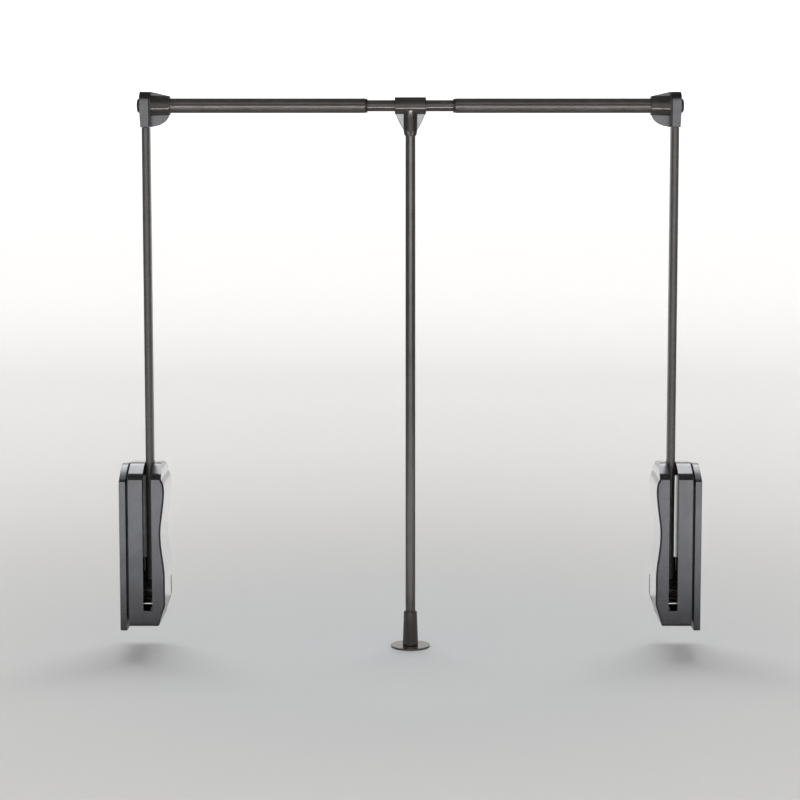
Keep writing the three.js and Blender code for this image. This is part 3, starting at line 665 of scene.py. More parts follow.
def through(places, steps):
    """A smooth curve through the places, without the first one; its handles follow the neighbours."""
    ends = [places[0], *places, places[-1]]
    points = []
    for before, start, end, after in zip(ends, ends[1:], ends[2:], ends[3:]):
        lead, trail = (end - before) / smooth_divisor, (after - start) / smooth_divisor
        points += bezier([start, start + lead, end - trail, end], steps)
    return points


wave_shares = [
    (0.84, 1), (0.97, 0.965), (1.01, 0.913), (0.965, 0.84), (0.87, 0.75), (0.79, 0.675),
    (0.77, 0.618), (0.8, 0.55), (0.87, 0.48), (0.955, 0.41), (1, 0.345),
]
slant_start_share = 0.142
slant_end_share = 0.67
corner_steps = 6
crown_steps = 14
wave_steps = 6
smooth_divisor = 6
print("front outline points:", len(front_outline(0)))

# %% [markdown]
# ## Body of the housing
# The full body is the front outline pushed from front to back, with the edges of its ends broken flat and
# left sharp at the seam, and is then planed down along the side outline. Both halves are cut from it, so
# they meet exactly at the slot.


# %% The full housing body
def housing_body(inset, rim=0):
    """The housing as one solid, drawn in by an inset."""
    front, back = inset - housing_front, housing_back - inset
    form = prism(front_outline(inset), front, back, "y")
    if rim:
        ends = [face for face in form.faces if abs(face.normal.y) > end_face_share]
        edges = {edge for face in ends for edge in face.edges}
        broken = [edge for edge in edges if min(vert.co.x for vert in edge.verts) < shell_outer / 2]
        # The flat faces that break the front and back edges get the dark edge finish, a painted dark
        # reflection.
        bevel_edges(form, broken, rim, flat=True, slot=painted_dark_edges_slot)
    outline = side_outline(inset, housing_below, housing_above, crown_rise, crown_bevel)
    for start, end in zip(outline, outline[1:] + outline[:1]):
        run = end - start
        # Level and upright runs are the body's own flat faces.
        if min(abs(run.x), abs(run.y)) < merge_distance:
            continue
        trimmed(form, (0, start.x, start.y), (0, run.y, -run.x))
    if rim:
        crown = [
            edge for edge in form.edges
            if edge.is_manifold and edge.calc_face_angle() > crown_edge_angle
            and min(vert.co.z for vert in edge.verts) > housing_above - crown_edge_reach
        ]
        bevel_edges(form, crown, crown_edge_round)
    return form


crown_edge_angle = math.radians(50)
crown_edge_round = 0.9 * mm
crown_edge_reach = 42 * mm
test_body = housing_body(0, front_chamfer)
print("body faces:", len(test_body.faces))
test_body.free()

# %% [markdown]
# ## Outer half of the housing
# This half meets the wall plate. Inside it carries the bosses of the pivot and stop pins, the guide of the
# rack and the saddles of the gas spring. What stands inside is taken out of the cavity first, so one
# subtraction then leaves the wall, the lip beside the slot and all the bosses in one moulding.

# %% Sizes inside the housing
pivot_pin = 10 * mm
pivot_boss = 18 * mm
stop_pin = 5 * mm
stop_pin_forward = 40 * mm
stop_boss_wall = 2.5 * mm
swing_limit = math.radians(85)
gear_module = 2 * mm
gear_teeth = 14
gear_width = 12 * mm
dedendum_share = 0.95
dedendum = dedendum_share * gear_module
rack_below = 33 * mm
rack_above = 27 * mm
rack_thickness = 9 * mm
spring_diameter = 16 * mm
spring_bottom = 49 * mm
spring_top_room = 3 * mm
saddle_thickness = 4 * mm
screw_diameter = 4 * mm
screw_head = 7.6 * mm
screw_head_depth = 3 * mm
screw_boss_wall = 3 * mm
screw_inset = 12.5 * mm
fixing_screw = 5 * mm
fixing_head = 9 * mm

gear_inner = arm_width / 2 + seat_gap
gear_outer = gear_inner + gear_width
gear_middle = (gear_inner + gear_outer) / 2
rack_front = gear_module * gear_teeth / 2 + seat_gap / 2
rack_back = rack_front + dedendum + rack_thickness
spring_place = rack_front + dedendum + rack_thickness / 2
spring_top = housing_above - spring_top_room
rest_slope = math.pi / 2 - swing_limit
arm_underside = stop_pin_forward * math.tan(rest_slope) - arm_depth / 2 / math.cos(rest_slope)
stop_pin_height = arm_underside - seat_gap - stop_pin / 2 / math.cos(rest_slope)
screw_low = -housing_below + screw_inset + shell_wall
screw_back = housing_back - screw_inset
screw_places = [
    (screw_inset - housing_front, screw_low),
    (screw_back, screw_low),
    (screw_back, housing_above / 3),
    (screw_back, housing_above - back_round),
]
cover_front = 12 * mm
cover_back = 42 * mm
cover_below = 20 * mm
cover_above = 16 * mm
cover_thickness = 0.9 * mm
cover_gap = 0.8 * mm
cover_sink = 0.45 * mm
cover_ledge = 2.5 * mm
fixing_forward = rack_back + 2 * seat_gap + shell_wall + fixing_head / 2
fixing_place = (fixing_forward, (cover_above - cover_below) / 2)
far = 2 * housing_height
print("stop pin height:", round(stop_pin_height / mm, 1), "mm, rack back:", round(rack_back / mm, 1), "mm")


# %% Shape the outer half
def rod_at(low, high, diameter, place, steps=small_steps):
    """A round bar across the housing, at a place forward and up."""
    return moved(rod(low, high, diameter, "x", steps), forward=place[0], up=place[1])


def slot_room():
    """The room that the arm swings in, open to the front and the top."""
    low = (-slot_half, -housing_front - overrun, -slot_below)
    high = (slot_half, arm_depth / 2 + 2 * seat_gap, housing_above + crown_rise + overrun)
    return box(low, high)


def lip_room(low, high):
    """The lip along one side of the slot's front."""
    return box(
        (low, -housing_front - overrun, -slot_below - shell_wall),
        (high, slot_lip - housing_front, housing_above + crown_rise + overrun),
    )


def outer_half():
    """The outer half of the housing."""
    parting = slot_half + seat_gap / 2
    beyond = shell_outer + overrun
    guide_top = spring_bottom - saddle_thickness
    saddles = [spring_bottom + 2 * saddle_thickness, spring_top - 4 * saddle_thickness]
    cavity = combined(housing_body(shell_wall), [
        lip_room(parting - overrun, parting + shell_wall),
        rod_at(gear_outer + seat_gap, beyond, pivot_boss, (0, 0)),
        rod_at(0, beyond, stop_pin + 2 * stop_boss_wall, (-stop_pin_forward, stop_pin_height)),
        box((gear_inner + seat_gap, rack_back + seat_gap, -rack_below),
            (beyond, rack_back + seat_gap + shell_wall, guide_top)),
        box((gear_outer + seat_gap, rack_front + dedendum, -rack_below), (beyond, rack_back, guide_top)),
        box((parting, spring_place - shell_wall, spring_top + seat_gap),
            (beyond, spring_place + shell_wall, far)),
        rod_at(gear_outer, beyond, fixing_head, fixing_place),
        *[box((parting, spring_place, level),
              (beyond, spring_place + spring_diameter / 2 + shell_wall, level + saddle_thickness))
          for level in saddles],
        *[rod_at(parting, beyond, screw_head + screw_boss_wall, place) for place in screw_places],
    ], "DIFFERENCE")
    half = trimmed(housing_body(0, front_chamfer), (parting, 0, 0), (-1, 0, 0))
    spring_room = rod(spring_bottom, spring_top, spring_diameter + 2 * seat_gap, "z", medium_steps)
    bores = [rod_at(0, beyond, screw_diameter + 2 * seat_gap, place) for place in screw_places]
    sinks = [
        rod_at(shell_outer - screw_head_depth - seat_gap, beyond, screw_head + 2 * seat_gap, place)
        for place in screw_places
    ]
    # Every cut face here is black ABS. Inside the slot the black partly stands for the shade there: painted
    # shade.
    return combined(half, [
        cavity,
        moved(spring_room, across=gear_middle, forward=spring_place),
        rod_at(0, shell_outer - shell_wall, pivot_pin + 2 * seat_gap, (0, 0)),
        rod_at(0, shell_outer - shell_wall, stop_pin + 2 * seat_gap, (-stop_pin_forward, stop_pin_height)),
        rod_at(0, beyond, fixing_screw + 2 * seat_gap, fixing_place),
        *bores, *sinks, slot_room(),
    ], "DIFFERENCE", housing_finishes, [black_abs])


finish_pair(outer_half(), "outer_shell", "moulding", "housing", "graphite_plastic", *housing_finishes)

# %% [markdown]
# ## Inner half of the housing and its service cover
# The wavy half faces the clothes. A thin cover sits in a shallow pocket at its lower back, a little
# below the side and with a narrow groove round it, over the hole that lets a screwdriver reach the
# fixing screw.


# %% Shape the inner half
def cover_room(grow):
    """The room of the service cover, grown on every side."""
    return box(
        (-shell_inner - overrun, cover_front - grow, -cover_below - grow),
        (-slot_half, cover_back + grow, cover_above + grow),
    )


def inner_half():
    """The inner, wavy half of the housing."""
    parting = slot_half - seat_gap / 2
    beyond = -shell_inner - overrun
    blind = shell_wall - shell_inner
    cavity = combined(housing_body(shell_wall), [
        lip_room(-slot_half - shell_wall, -slot_half + overrun),
        rod_at(beyond, -arm_width / 2 - seat_gap, pivot_boss, (0, 0)),
        rod_at(beyond, 0, stop_pin + 2 * stop_boss_wall, (-stop_pin_forward, stop_pin_height)),
        *[rod_at(beyond, parting, screw_diameter + 2 * screw_boss_wall, place) for place in screw_places],
    ], "DIFFERENCE")
    half = trimmed(housing_body(0, front_chamfer), (parting, 0, 0), (1, 0, 0))
    pocket = combined(cover_room(cover_gap), [housing_body(cover_thickness + seat_gap)], "DIFFERENCE")
    pilot = -slot_half - screw_boss_wall
    # Every cut face here is black ABS. Inside the slot the black partly stands for the shade there: painted
    # shade.
    return combined(half, [
        cavity,
        slot_room(),
        pocket,
        cover_room(-cover_ledge),
        rod_at(blind, 0, pivot_pin + 2 * seat_gap, (0, 0)),
        rod_at(blind, 0, stop_pin + 2 * seat_gap, (-stop_pin_forward, stop_pin_height)),
        *[rod_at(pilot, shell_outer, screw_diameter + 2 * seat_gap, place) for place in screw_places],
    ], "DIFFERENCE", housing_finishes, [black_abs])


def service_cover():
    """The thin cover, sunk a little below the wavy side."""
    skin = combined(housing_body(cover_sink), [housing_body(cover_thickness)], "DIFFERENCE")
    return combined(cover_room(0), [skin], "INTERSECT")


finish_pair(inner_half(), "inner_shell", "moulding", "housing", "graphite_plastic", *housing_finishes)
finish_pair(service_cover(), "service_cover", "moulding", "housing", "graphite_plastic", graphite_abs)

# %% [markdown]
# ## Wall plate
# The plate is screwed flat to the wardrobe's side through four countersunk holes. A raised land on it
# carries the housing and leaves a seam all round between the two. The land and the plate's big faces are
# black, which paints the shade in that seam.

# %% Shape the wall plate
plate_below = 52 * mm
plate_above = 177 * mm
plate_rise = 21 * mm
plate_slant = 2 * mm
land_inset = 10 * mm
wall_screw_hole = 5.5 * mm
wall_screw_head = 10 * mm
wall_screw_inset = 19 * mm
plate_rim = 0.8 * mm


def wall_plate():
    """The plate with its land, less the holes."""
    face = shell_outer + seat_gap
    sink = (wall_screw_head - wall_screw_hole) / 2
    holes = []
    for forward in (wall_screw_inset - housing_front, housing_back - wall_screw_inset):
        for up in (wall_screw_inset - housing_below, plate_above - 2 * wall_screw_inset):
            profile = [
                (face - overrun, 0), (face - overrun, wall_screw_head / 2),
                (face + sink, wall_screw_head / 2), (face + 2 * sink, wall_screw_hole / 2),
                (plate_outer + overrun, wall_screw_hole / 2),
                (plate_outer + overrun, 0),
            ]
            holes.append(moved(turned(profile, "x", small_steps), forward=forward, up=up))
    holes.append(rod_at(face - overrun, plate_outer - shell_wall, fixing_screw + 2 * seat_gap, fixing_place))
    plate = side_outline(0, plate_below, plate_above, plate_rise, plate_slant)
    land = side_outline(land_inset, housing_below, housing_above, crown_rise, crown_bevel)
    whole = combined(
        # The black big faces of the plate and the black land are painted shade in the seam.
        paint_ends(prism(plate, plate_inner, plate_outer, "x", plate_rim), "x", seam_painted_shade_slot),
        [prism(land, face, plate_outer - seam_width, "x")], "UNION", housing_finishes, [black_abs],
    )
    return combined(whole, holes, "DIFFERENCE", housing_finishes, [black_abs])


finish_pair(wall_plate(), "wall_plate", "moulding", "housing", "graphite_plastic", *housing_finishes)

# %% [markdown]
# ## Pins and gas spring
# The bright lines inside the slot are a thin stop pin, which the lowered arm lies on, and the zinc plated
# cylinder of the gas spring. Its rod is pushed in by the rack when the bar comes down.

# %% Turn the pins, the cylinder and its rod
spring_wall = 1.5 * mm
spring_end_wall = 5 * mm
spring_rod_diameter = 6 * mm
piston_length = 8 * mm
pin_low = -shell_inner + shell_wall + seat_gap
pin_high = shell_outer - shell_wall - seat_gap


def pin(diameter):
    """A ground pin with small chamfers, across the housing."""
    radius = diameter / 2
    profile = [
        (pin_low, 0), (pin_low, radius - seat_gap), (pin_low + seat_gap, radius),
        (pin_high - seat_gap, radius), (pin_high, radius - seat_gap), (pin_high, 0),
    ]
    return turned(profile, "x", medium_steps)


def gas_cylinder():
    """The cylinder, closed above, with a neck for its rod below."""
    radius, neck = spring_diameter / 2, spring_rod_diameter / 2 + seat_gap
    bore = radius - spring_wall
    shoulder = [(spring_bottom, neck), (spring_bottom, radius), (spring_top, radius), (spring_top, 0)]
    inside = [
        (spring_top - spring_end_wall, 0), (spring_top - spring_end_wall, bore),
        (spring_bottom + spring_end_wall, bore), (spring_bottom + spring_end_wall, neck),
    ]
    profile = softened(shoulder, spring_wall, closed=False) + inside + [(spring_bottom, neck)]
    return moved(turned(profile, "z", medium_steps), across=gear_middle, forward=spring_place)


def spring_rod():
    """The rod with its piston."""
    low = rack_above + seat_gap
    start = spring_bottom + spring_end_wall + seat_gap
    piston = spring_diameter / 2 - spring_wall - seat_gap
    slim = spring_rod_diameter / 2
    profile = [
        (low, 0), (low, slim), (start, slim), (start, piston),
        (start + piston_length, piston), (start + piston_length, 0),
    ]
    return moved(turned(profile, "z", medium_steps), across=gear_middle, forward=spring_place)


stop = moved(pin(stop_pin), forward=-stop_pin_forward, up=stop_pin_height)
finish_pair(pin(pivot_pin), "pivot_pin", "turned", "housing", "bright_steel", ground_steel)
finish_pair(stop, "stop_pin", "turned", "housing", "bright_steel", ground_steel)
finish_pair(gas_cylinder(), "gas_cylinder", "turned", "housing", "zinc_steel", zinc_plate)
finish_pair(spring_rod(), "spring_rod", "turned", "lift_rack", "bright_steel", ground_steel)

# %% [markdown]
# ## Arm and its head
# The arm is a flat oval steel tube. A moulded head closes its top: round above, tapered a little below on
# its outer side, with a recess for the bolt that holds the bar and a domed black cap over it.

# %% Shape the arm tube, its head and the cap
head_width = 14.4 * mm
head_overhang = 2.8 * mm
head_depth = 30 * mm
head_below = 32 * mm
head_above = 21 * mm
head_taper = 1.6 * mm
head_rim = 1 * mm
bolt_diameter = 8 * mm
bolt_head = 13 * mm
bolt_head_height = 5 * mm
bolt_recess = 7.5 * mm
cap_diameter = 21 * mm
cap_height = 4 * mm
cap_ring = 0.5 * mm
head_outer = arm_width / 2 + head_overhang
head_inner = head_outer - head_width
arch_steps = 20


def flat_oval(width, depth):
    """A flat oval: two half circles joined by straight sides."""
    radius, outline = width / 2, []
    for turn, middle in ((0, depth / 2 - width / 2), (math.pi, width / 2 - depth / 2)):
        for step in range(arch_steps + 1):
            angle = turn + math.pi * step / arch_steps
            outline.append((radius * math.cos(angle), middle + radius * math.sin(angle)))
    return outline


def arm_tube():
    """The tube between the foot and the head."""
    low, high = arm_foot_height, arm_reach - head_below - seat_gap
    bore = flat_oval(arm_width - 2 * arm_wall, arm_depth - 2 * arm_wall)
    return combined(
        prism(flat_oval(arm_width, arm_depth), low, high, "z"),
        [prism(bore, low - overrun, high + overrun, "z")], "DIFFERENCE",
    )


def arched_outline():
    """The head and the flange from the side: square below, round above."""
    radius = head_depth / 2
    bottom, middle = arm_reach - head_below, arm_reach + head_above - radius
    foot = [(-radius, middle), (-radius, bottom), (radius, bottom), (radius, middle)]
    outline = softened(foot, head_rim, closed=False)
    for step in range(1, arch_steps):
        angle = math.pi * step / arch_steps
        outline.append(Vector((radius * math.cos(angle), middle + radius * math.sin(angle))))
    return outline


def arm_head():
    """The head with its taper, spigot, bolt hole and recess."""
    bottom = arm_reach - head_below
    form = prism(arched_outline(), head_inner, head_outer, "x", head_rim)
    trimmed(form, (head_outer - head_taper, 0, bottom), (head_below, 0, -head_taper))
    spigot = flat_oval(arm_width - 2 * arm_wall - 2 * seat_gap, arm_depth - 2 * arm_wall - 2 * seat_gap)
    form = combined(form, [prism(spigot, bottom - tang_length, bottom + shell_wall, "z")], "UNION")
    axis = (0, arm_reach)
    return combined(form, [
        rod_at(head_inner - overrun, head_outer, bolt_diameter + 2 * seat_gap, axis),
        rod_at(head_outer - bolt_recess, head_outer + overrun, bolt_head + 2 * seat_gap, axis, medium_steps),
    ], "DIFFERENCE")


def head_cap():
    """The cap: a stub in the recess, a rim on the head and a low dome with a turned ring."""
    seat, radius = head_outer + seat_gap, cap_diameter / 2
    stub_end = head_outer - bolt_recess + bolt_head_height + 2 * seat_gap
    stub = bolt_head / 2 - seat_gap
    top = seat + cap_height
    shoulder = (seat + cap_height / 3, radius)
    rise = bezier([shoulder, (top - cap_ring, radius), (top, radius - cap_height)], corner_steps)
    ring = [
        (top - cap_ring, radius - cap_height - cap_ring), (top - cap_ring, cap_height / 2 + cap_ring),
        (top, cap_height / 2), (top, 0),
    ]
    profile = [(stub_end, 0), (stub_end, stub), (seat, stub), (seat, radius), shoulder]
    return moved(turned(profile + rise + ring, "x", fine_steps), up=arm_reach)


finish_pair(arm_tube(), "arm_tube", "drawn", "arm", "dark_enamel", arm_enamel)
finish_pair(arm_head(), "arm_head", "moulding", "arm", "graphite_plastic", graphite_abs)
finish_pair(head_cap(), "head_cap", "moulding", "arm", "black_plastic", black_abs)

# %% [markdown]
# ## End connector
# A casting joins the bar to the head: a flange, a barrel that holds the outer tube, and one upright web
# that runs from the flange to the barrel, thin above it and curved below it.

# %% Shape the end connector
connector_length = 31 * mm
connector_diameter = 31 * mm
mouth_diameter = 29 * mm
connector_end_wall = 7 * mm
flange_thickness = 2.2 * mm
web_thickness = 6 * mm
web_drop = 14.6 * mm
web_peak = 6 * mm
web_rim = 0.7 * mm
connector_start = head_inner - seat_gap
connector_end = connector_start - connector_length
tube_start = connector_start - connector_end_wall - seat_gap
outer_tube_diameter = 22 * mm
mouth_round = 0.9 * mm


def end_connector():
    """The casting, drawn from the pivot."""
    flange_end = connector_start - flange_thickness
    mouth = mouth_diameter / 2
    profile = softened([
        (connector_start, 0), (connector_start, connector_diameter / 2),
        (connector_end, mouth), (connector_end, 0),
    ], mouth_round, closed=False)
    foot, top = arm_reach - head_below + seat_gap, arm_reach + head_above - seat_gap
    hidden = connector_start - flange_thickness / 2
    web = [
        Vector((hidden, foot)), Vector((hidden, top)), Vector((flange_end, top)),
        Vector((connector_end + seam_width / 2, arm_reach + mouth)),
        Vector((connector_end + seam_width / 2, arm_reach - web_drop)),
    ]
    peak = (connector_end + web_peak, foot + web_peak / 2)
    web += bezier([web[-1], peak, (flange_end, foot)], crown_steps)
    whole = combined(moved(turned(profile, "x", fine_steps), up=arm_reach), [
        prism(arched_outline(), flange_end, connector_start, "x", web_rim),
        # The web's flat faces get the dimmer lighter enamel: painted light.
        paint_ends(prism(web, -web_thickness / 2, web_thickness / 2, "y", web_rim), "y", webs_painted_light_slot),
    ], "UNION", connector_finishes, connector_finishes)
    seat = outer_tube_diameter + 2 * seat_gap
    bore = rod(connector_end - overrun, tube_start + seat_gap, seat, "x", fine_steps)
    return combined(whole, [
        moved(bore, up=arm_reach),
        rod_at(connector_end, connector_start + overrun, bolt_diameter + 2 * seat_gap, (0, arm_reach)),
    ], "DIFFERENCE", connector_finishes, connector_finishes)


finish_pair(end_connector(), "end_connector", "casting", "arm", "dark_enamel", *connector_finishes)

# %% [markdown]
# ## Telescopic bar
# The outer tubes are fluted along their length and slide over one smooth inner tube. A plastic bush in
# each tube's inner end guides it and shows as a narrow collar.

# %% Shape the tubes of the bar
outer_bore = 19.6 * mm
inner_tube_diameter = 17 * mm
inner_tube_bore = 14 * mm
inner_tube_length = 480 * mm
flute_count = 12
flute_depth = 0.4 * mm
points_per_flute = 10
bush_length = 28 * mm
bush_collar = 3 * mm
collar_diameter = 21.4 * mm
tee_length = 47 * mm
inner_tube_shown = 44.3 * mm
tube_end = tee_length / 2 + inner_tube_shown - arm_plane


def outer_tube():
    """The fluted tube with its round bore."""
    count = flute_count * points_per_flute
    outline = []
    for index in range(count):
        angle = 2 * math.pi * index / count
        radius = outer_tube_diameter / 2 - flute_depth * (1 - math.cos(flute_count * angle)) / 2
        outline.append((radius * math.cos(angle), radius * math.sin(angle)))
    whole = prism(outline, tube_end, tube_start, "x")
    bore = rod(tube_end - overrun, tube_start + overrun, outer_bore, "x", fine_steps)
    return moved(combined(whole, [bore], "DIFFERENCE"), up=arm_reach)


def tube_bush():
    """The bush with its collar."""
    inner, outer = inner_tube_diameter / 2 + seat_gap, outer_bore / 2 - seat_gap
    collar, radius = tube_end - seat_gap, collar_diameter / 2
    low, high = collar - bush_collar, collar + bush_length
    rounded = softened(
        [(low, inner), (low, radius), (collar, radius), (collar, outer)], mouth_round, closed=False,
    )
    profile = rounded + [(high, outer), (high, inner), (low, inner)]
    return moved(turned(profile, "x", fine_steps), up=arm_reach)


def sleeve(low, high, bore, diameter, axis, rim):
    """A plain tube with its outer edges just broken."""
    inner, outer = bore / 2, diameter / 2
    outside = softened([(low, inner), (low, outer), (high, outer), (high, inner)], rim, closed=False)
    return turned(outside + [(low, inner)], axis, fine_steps)


finish_pair(outer_tube(), "outer_tube", "drawn", "arm", "dark_tube", bar_coat)
finish_pair(tube_bush(), "tube_bush", "moulding", "arm", "black_plastic", black_abs)
reach = inner_tube_length / 2
tube = sleeve(-reach, reach, inner_tube_bore, inner_tube_diameter, "x", seat_gap)
finish_piece(
    moved(tube, up=bar_height), "inner_tube_drawn", "bar_centre",
    ["inner_tube"], "dark_tube", bar_coat,
)

# %% [markdown]
# ## Handle
# The tee turns on the inner tube. Two thin webs stiffen the corner between its barrel and its socket, and
# the rod hangs from the socket down to a sleeve and a flat disc that the user takes hold of.

# %% Shape the tee
tee_diameter = 25.7 * mm
socket_diameter = 21 * mm
socket_drop = 45 * mm
socket_taper = 8 * mm
socket_mouth = 18 * mm
tee_web_thickness = 3 * mm
tee_web_drop = 38 * mm
handle_diameter = 15 * mm
handle_wall = 1.2 * mm
handle_top_drop = 17 * mm
sleeve_chamfer = 1.2 * mm


def handle_tee():
    """The tee, drawn from the bar's axis."""
    half, radius = tee_length / 2, tee_diameter / 2
    barrel = softened([(-half, 0), (-half, radius), (half, radius), (half, 0)], sleeve_chamfer, closed=False)
    socket = softened([
        (-socket_drop, 0), (-socket_drop, socket_mouth / 2),
        (socket_taper - socket_drop, socket_diameter / 2), (0, socket_diameter / 2), (0, 0),
    ], sleeve_chamfer, closed=False)
    reach, start, foot = half - sleeve_chamfer, sleeve_chamfer - radius, socket_mouth / 2
    middle = (start - tee_web_drop) / 2
    web = [(-reach, start)]
    web += bezier([web[0], (socket_taper / 2 - reach, middle), (-foot, -tee_web_drop)], crown_steps)
    web.append((foot, -tee_web_drop))
    web += bezier([web[-1], (reach - socket_taper / 2, middle), (reach, start)], crown_steps)
    whole = combined(turned(barrel, "x", fine_steps), [
        turned(socket, "z", fine_steps),
        # The webs' flat faces get the lighter enamel: painted light.
        paint_ends(prism(web, -tee_web_thickness / 2, tee_web_thickness / 2, "y", web_rim), "y", webs_painted_light_slot),
    ], "UNION", casting_finishes, casting_finishes)
    form = combined(whole, [
        rod(-tee_length, tee_length, inner_tube_diameter + 2 * seat_gap, "x", fine_steps),
        rod(-2 * socket_drop, seat_gap - handle_top_drop, handle_diameter + 2 * seat_gap, "z", fine_steps),
    ], "DIFFERENCE", casting_finishes, casting_finishes)
    return moved(form, up=bar_height)


finish_piece(
    handle_tee(), "handle_tee_casting", "handle",
    ["handle_tee"], "dark_enamel", *casting_finishes,
)

# %% Shape the rod and its foot
sleeve_top = 55.6 * mm
sleeve_top_diameter = 20.2 * mm
sleeve_bottom_diameter = 24 * mm
sleeve_floor = 8 * mm
disc_diameter = 60.5 * mm
disc_thickness = 3 * mm
disc_soft_edge = 0.4 * mm
foot_screw = 4.6 * mm
foot_screw_head = 9.6 * mm
foot_screw_head_depth = 2 * mm


def foot_sleeve():
    """The tapered sleeve that joins the rod to the disc."""
    bottom, bore = disc_thickness + seat_gap, handle_diameter / 2 + seat_gap
    room = foot_screw / 2 + seat_gap
    outside = softened([
        (bottom, room), (bottom, sleeve_bottom_diameter / 2),
        (sleeve_top, sleeve_top_diameter / 2), (sleeve_top, bore),
    ], sleeve_chamfer, closed=False)
    inside = [(bottom + sleeve_floor, bore), (bottom + sleeve_floor, room), (bottom, room)]
    return turned(outside + inside, "z", fine_steps)


def foot_disc():
    """The flat disc with a soft edge and a countersunk hole underneath."""
    radius, room = disc_diameter / 2, foot_screw / 2 + seat_gap
    sink = foot_screw_head / 2 + seat_gap
    outside = softened(
        [(0, sink), (0, radius), (disc_thickness, radius), (disc_thickness, room)],
        disc_soft_edge, closed=False,
    )
    return turned(outside + [(foot_screw_head_depth + seat_gap, room), (0, sink)], "z", 2 * fine_steps)


rod_low = disc_thickness + sleeve_floor + 2 * seat_gap
handle_rod = sleeve(
    rod_low, bar_height - handle_top_drop, handle_diameter - 2 * handle_wall, handle_diameter, "z", seat_gap,
)
finish_piece(
    handle_rod, "handle_rod_drawn", "handle",
    ["handle_rod"], "dark_tube", rod_coat,
)
finish_piece(
    foot_sleeve(), "foot_sleeve_casting", "handle",
    ["foot_sleeve"], "dark_enamel", dark_enamel,
)
finish_piece(
    foot_disc(), "foot_disc_turned", "handle",
    ["foot_disc"], "dark_enamel", disc_enamel,
)

# %% [markdown]
# ## Parts that keep their solid shape
# The rack, the foot of the arm, its bushes and the fasteners sit inside the housings and heads, and their
# plain solids already have the right shape. They get the materials of the real parts.

# %% Finish the carried-over parts
inner_finishes = {
    "rack": black_abs, "pivot_bush_inner": black_abs, "pivot_bush_outer": black_abs,
    "arm_foot": dark_enamel, "head_bolt": zinc_plate, "fixing_screw": zinc_plate,
    "shell_screw_1": zinc_plate, "shell_screw_2": zinc_plate,
    "shell_screw_3": zinc_plate, "shell_screw_4": zinc_plate,
}
finishes = {f"{side}_{name}": material for side in sides for name, material in inner_finishes.items()}
finishes["foot_screw"] = zinc_plate
for name, material in finishes.items():
    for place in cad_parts[name].material_slots:
        place.material = material
print("carried-over parts finished:", len(finishes), "pieces made:", len(made_pieces))

# %% [markdown]
# ## Floor and backdrop
# The studio is one pale bowl: a floor that curves up into a wall all round, so no horizon shows from any
# side. It is cool grey where the object stands and goes to white towards the wall. The paper also glows
# by itself, more behind the object than in front of it.

# %% Build the bowl
floor_radius = 4.2
wall_radius = 5.6
wall_height = 4.5
bowl_steps = 96


def bowl_finish():
    """Matt paper that goes from grey at the middle to lit white at the wall."""
    material = new_material("matt_paper_sweep")
    place = add_node(material, "ShaderNodeTexCoord", {}, {})
    parts = add_node(material, "ShaderNodeSeparateXYZ", {}, {"Vector": place.outputs["Object"]})
    flat = add_node(material, "ShaderNodeCombineXYZ", {}, {"X": parts.outputs["X"], "Y": parts.outputs["Y"]})
    reach = add_node(material, "ShaderNodeVectorMath", {"operation": "LENGTH"}, {0: flat.outputs["Vector"]})
    run = add_node(
        material, "ShaderNodeMath", {"operation": "ADD"},
        {0: reach.outputs["Value"], 1: parts.outputs["Z"]},
    )
    share = add_node(
        material, "ShaderNodeMath", {"operation": "DIVIDE"},
        {0: run.outputs["Value"], 1: wall_radius + wall_height},
    )
    tone = add_node(material, "ShaderNodeValToRGB", {}, {"Fac": share.outputs["Value"]})
    glow = add_node(material, "ShaderNodeValToRGB", {}, {"Fac": share.outputs["Value"]})
    facing = add_node(
        material, "ShaderNodeMapRange", {"interpolation_type": "SMOOTHSTEP"},
        {"Value": parts.outputs["Y"], "From Min": -glow_turn, "From Max": glow_turn,
         "To Min": front_glow_share, "To Max": 1},
    )
    level = add_node(
        material, "ShaderNodeMapRange", {"interpolation_type": "SMOOTHSTEP"},
        {"Value": parts.outputs["Z"], "From Min": glow_full_height, "From Max": glow_end_height,
         "To Min": paper_light, "To Max": 0},
    )
    strength = add_node(
        material, "ShaderNodeMath", {"operation": "MULTIPLY"},
        {0: facing.outputs["Result"], 1: level.outputs["Result"]},
    )
    fill_ramp(tone.color_ramp, paper_tones)
    fill_ramp(glow.color_ramp, paper_glow)
    return surfaced(
        material, "ShaderNodeBsdfPrincipled",
        {
            "Base Color": tone.outputs["Color"], "Roughness": paper_roughness,
            "Emission Color": glow.outputs["Color"], "Emission Strength": strength.outputs["Value"],
        },
    )


def fill_ramp(ramp, stops):
    """Sets a colour ramp from places in metres along the bowl and hex colours."""
    while len(ramp.elements) < len(stops):
        ramp.elements.new(1)
    for element, (place, colour) in zip(ramp.elements, sorted(stops.items())):
        element.position = place / (wall_radius + wall_height)
        element.color = linear(colour)


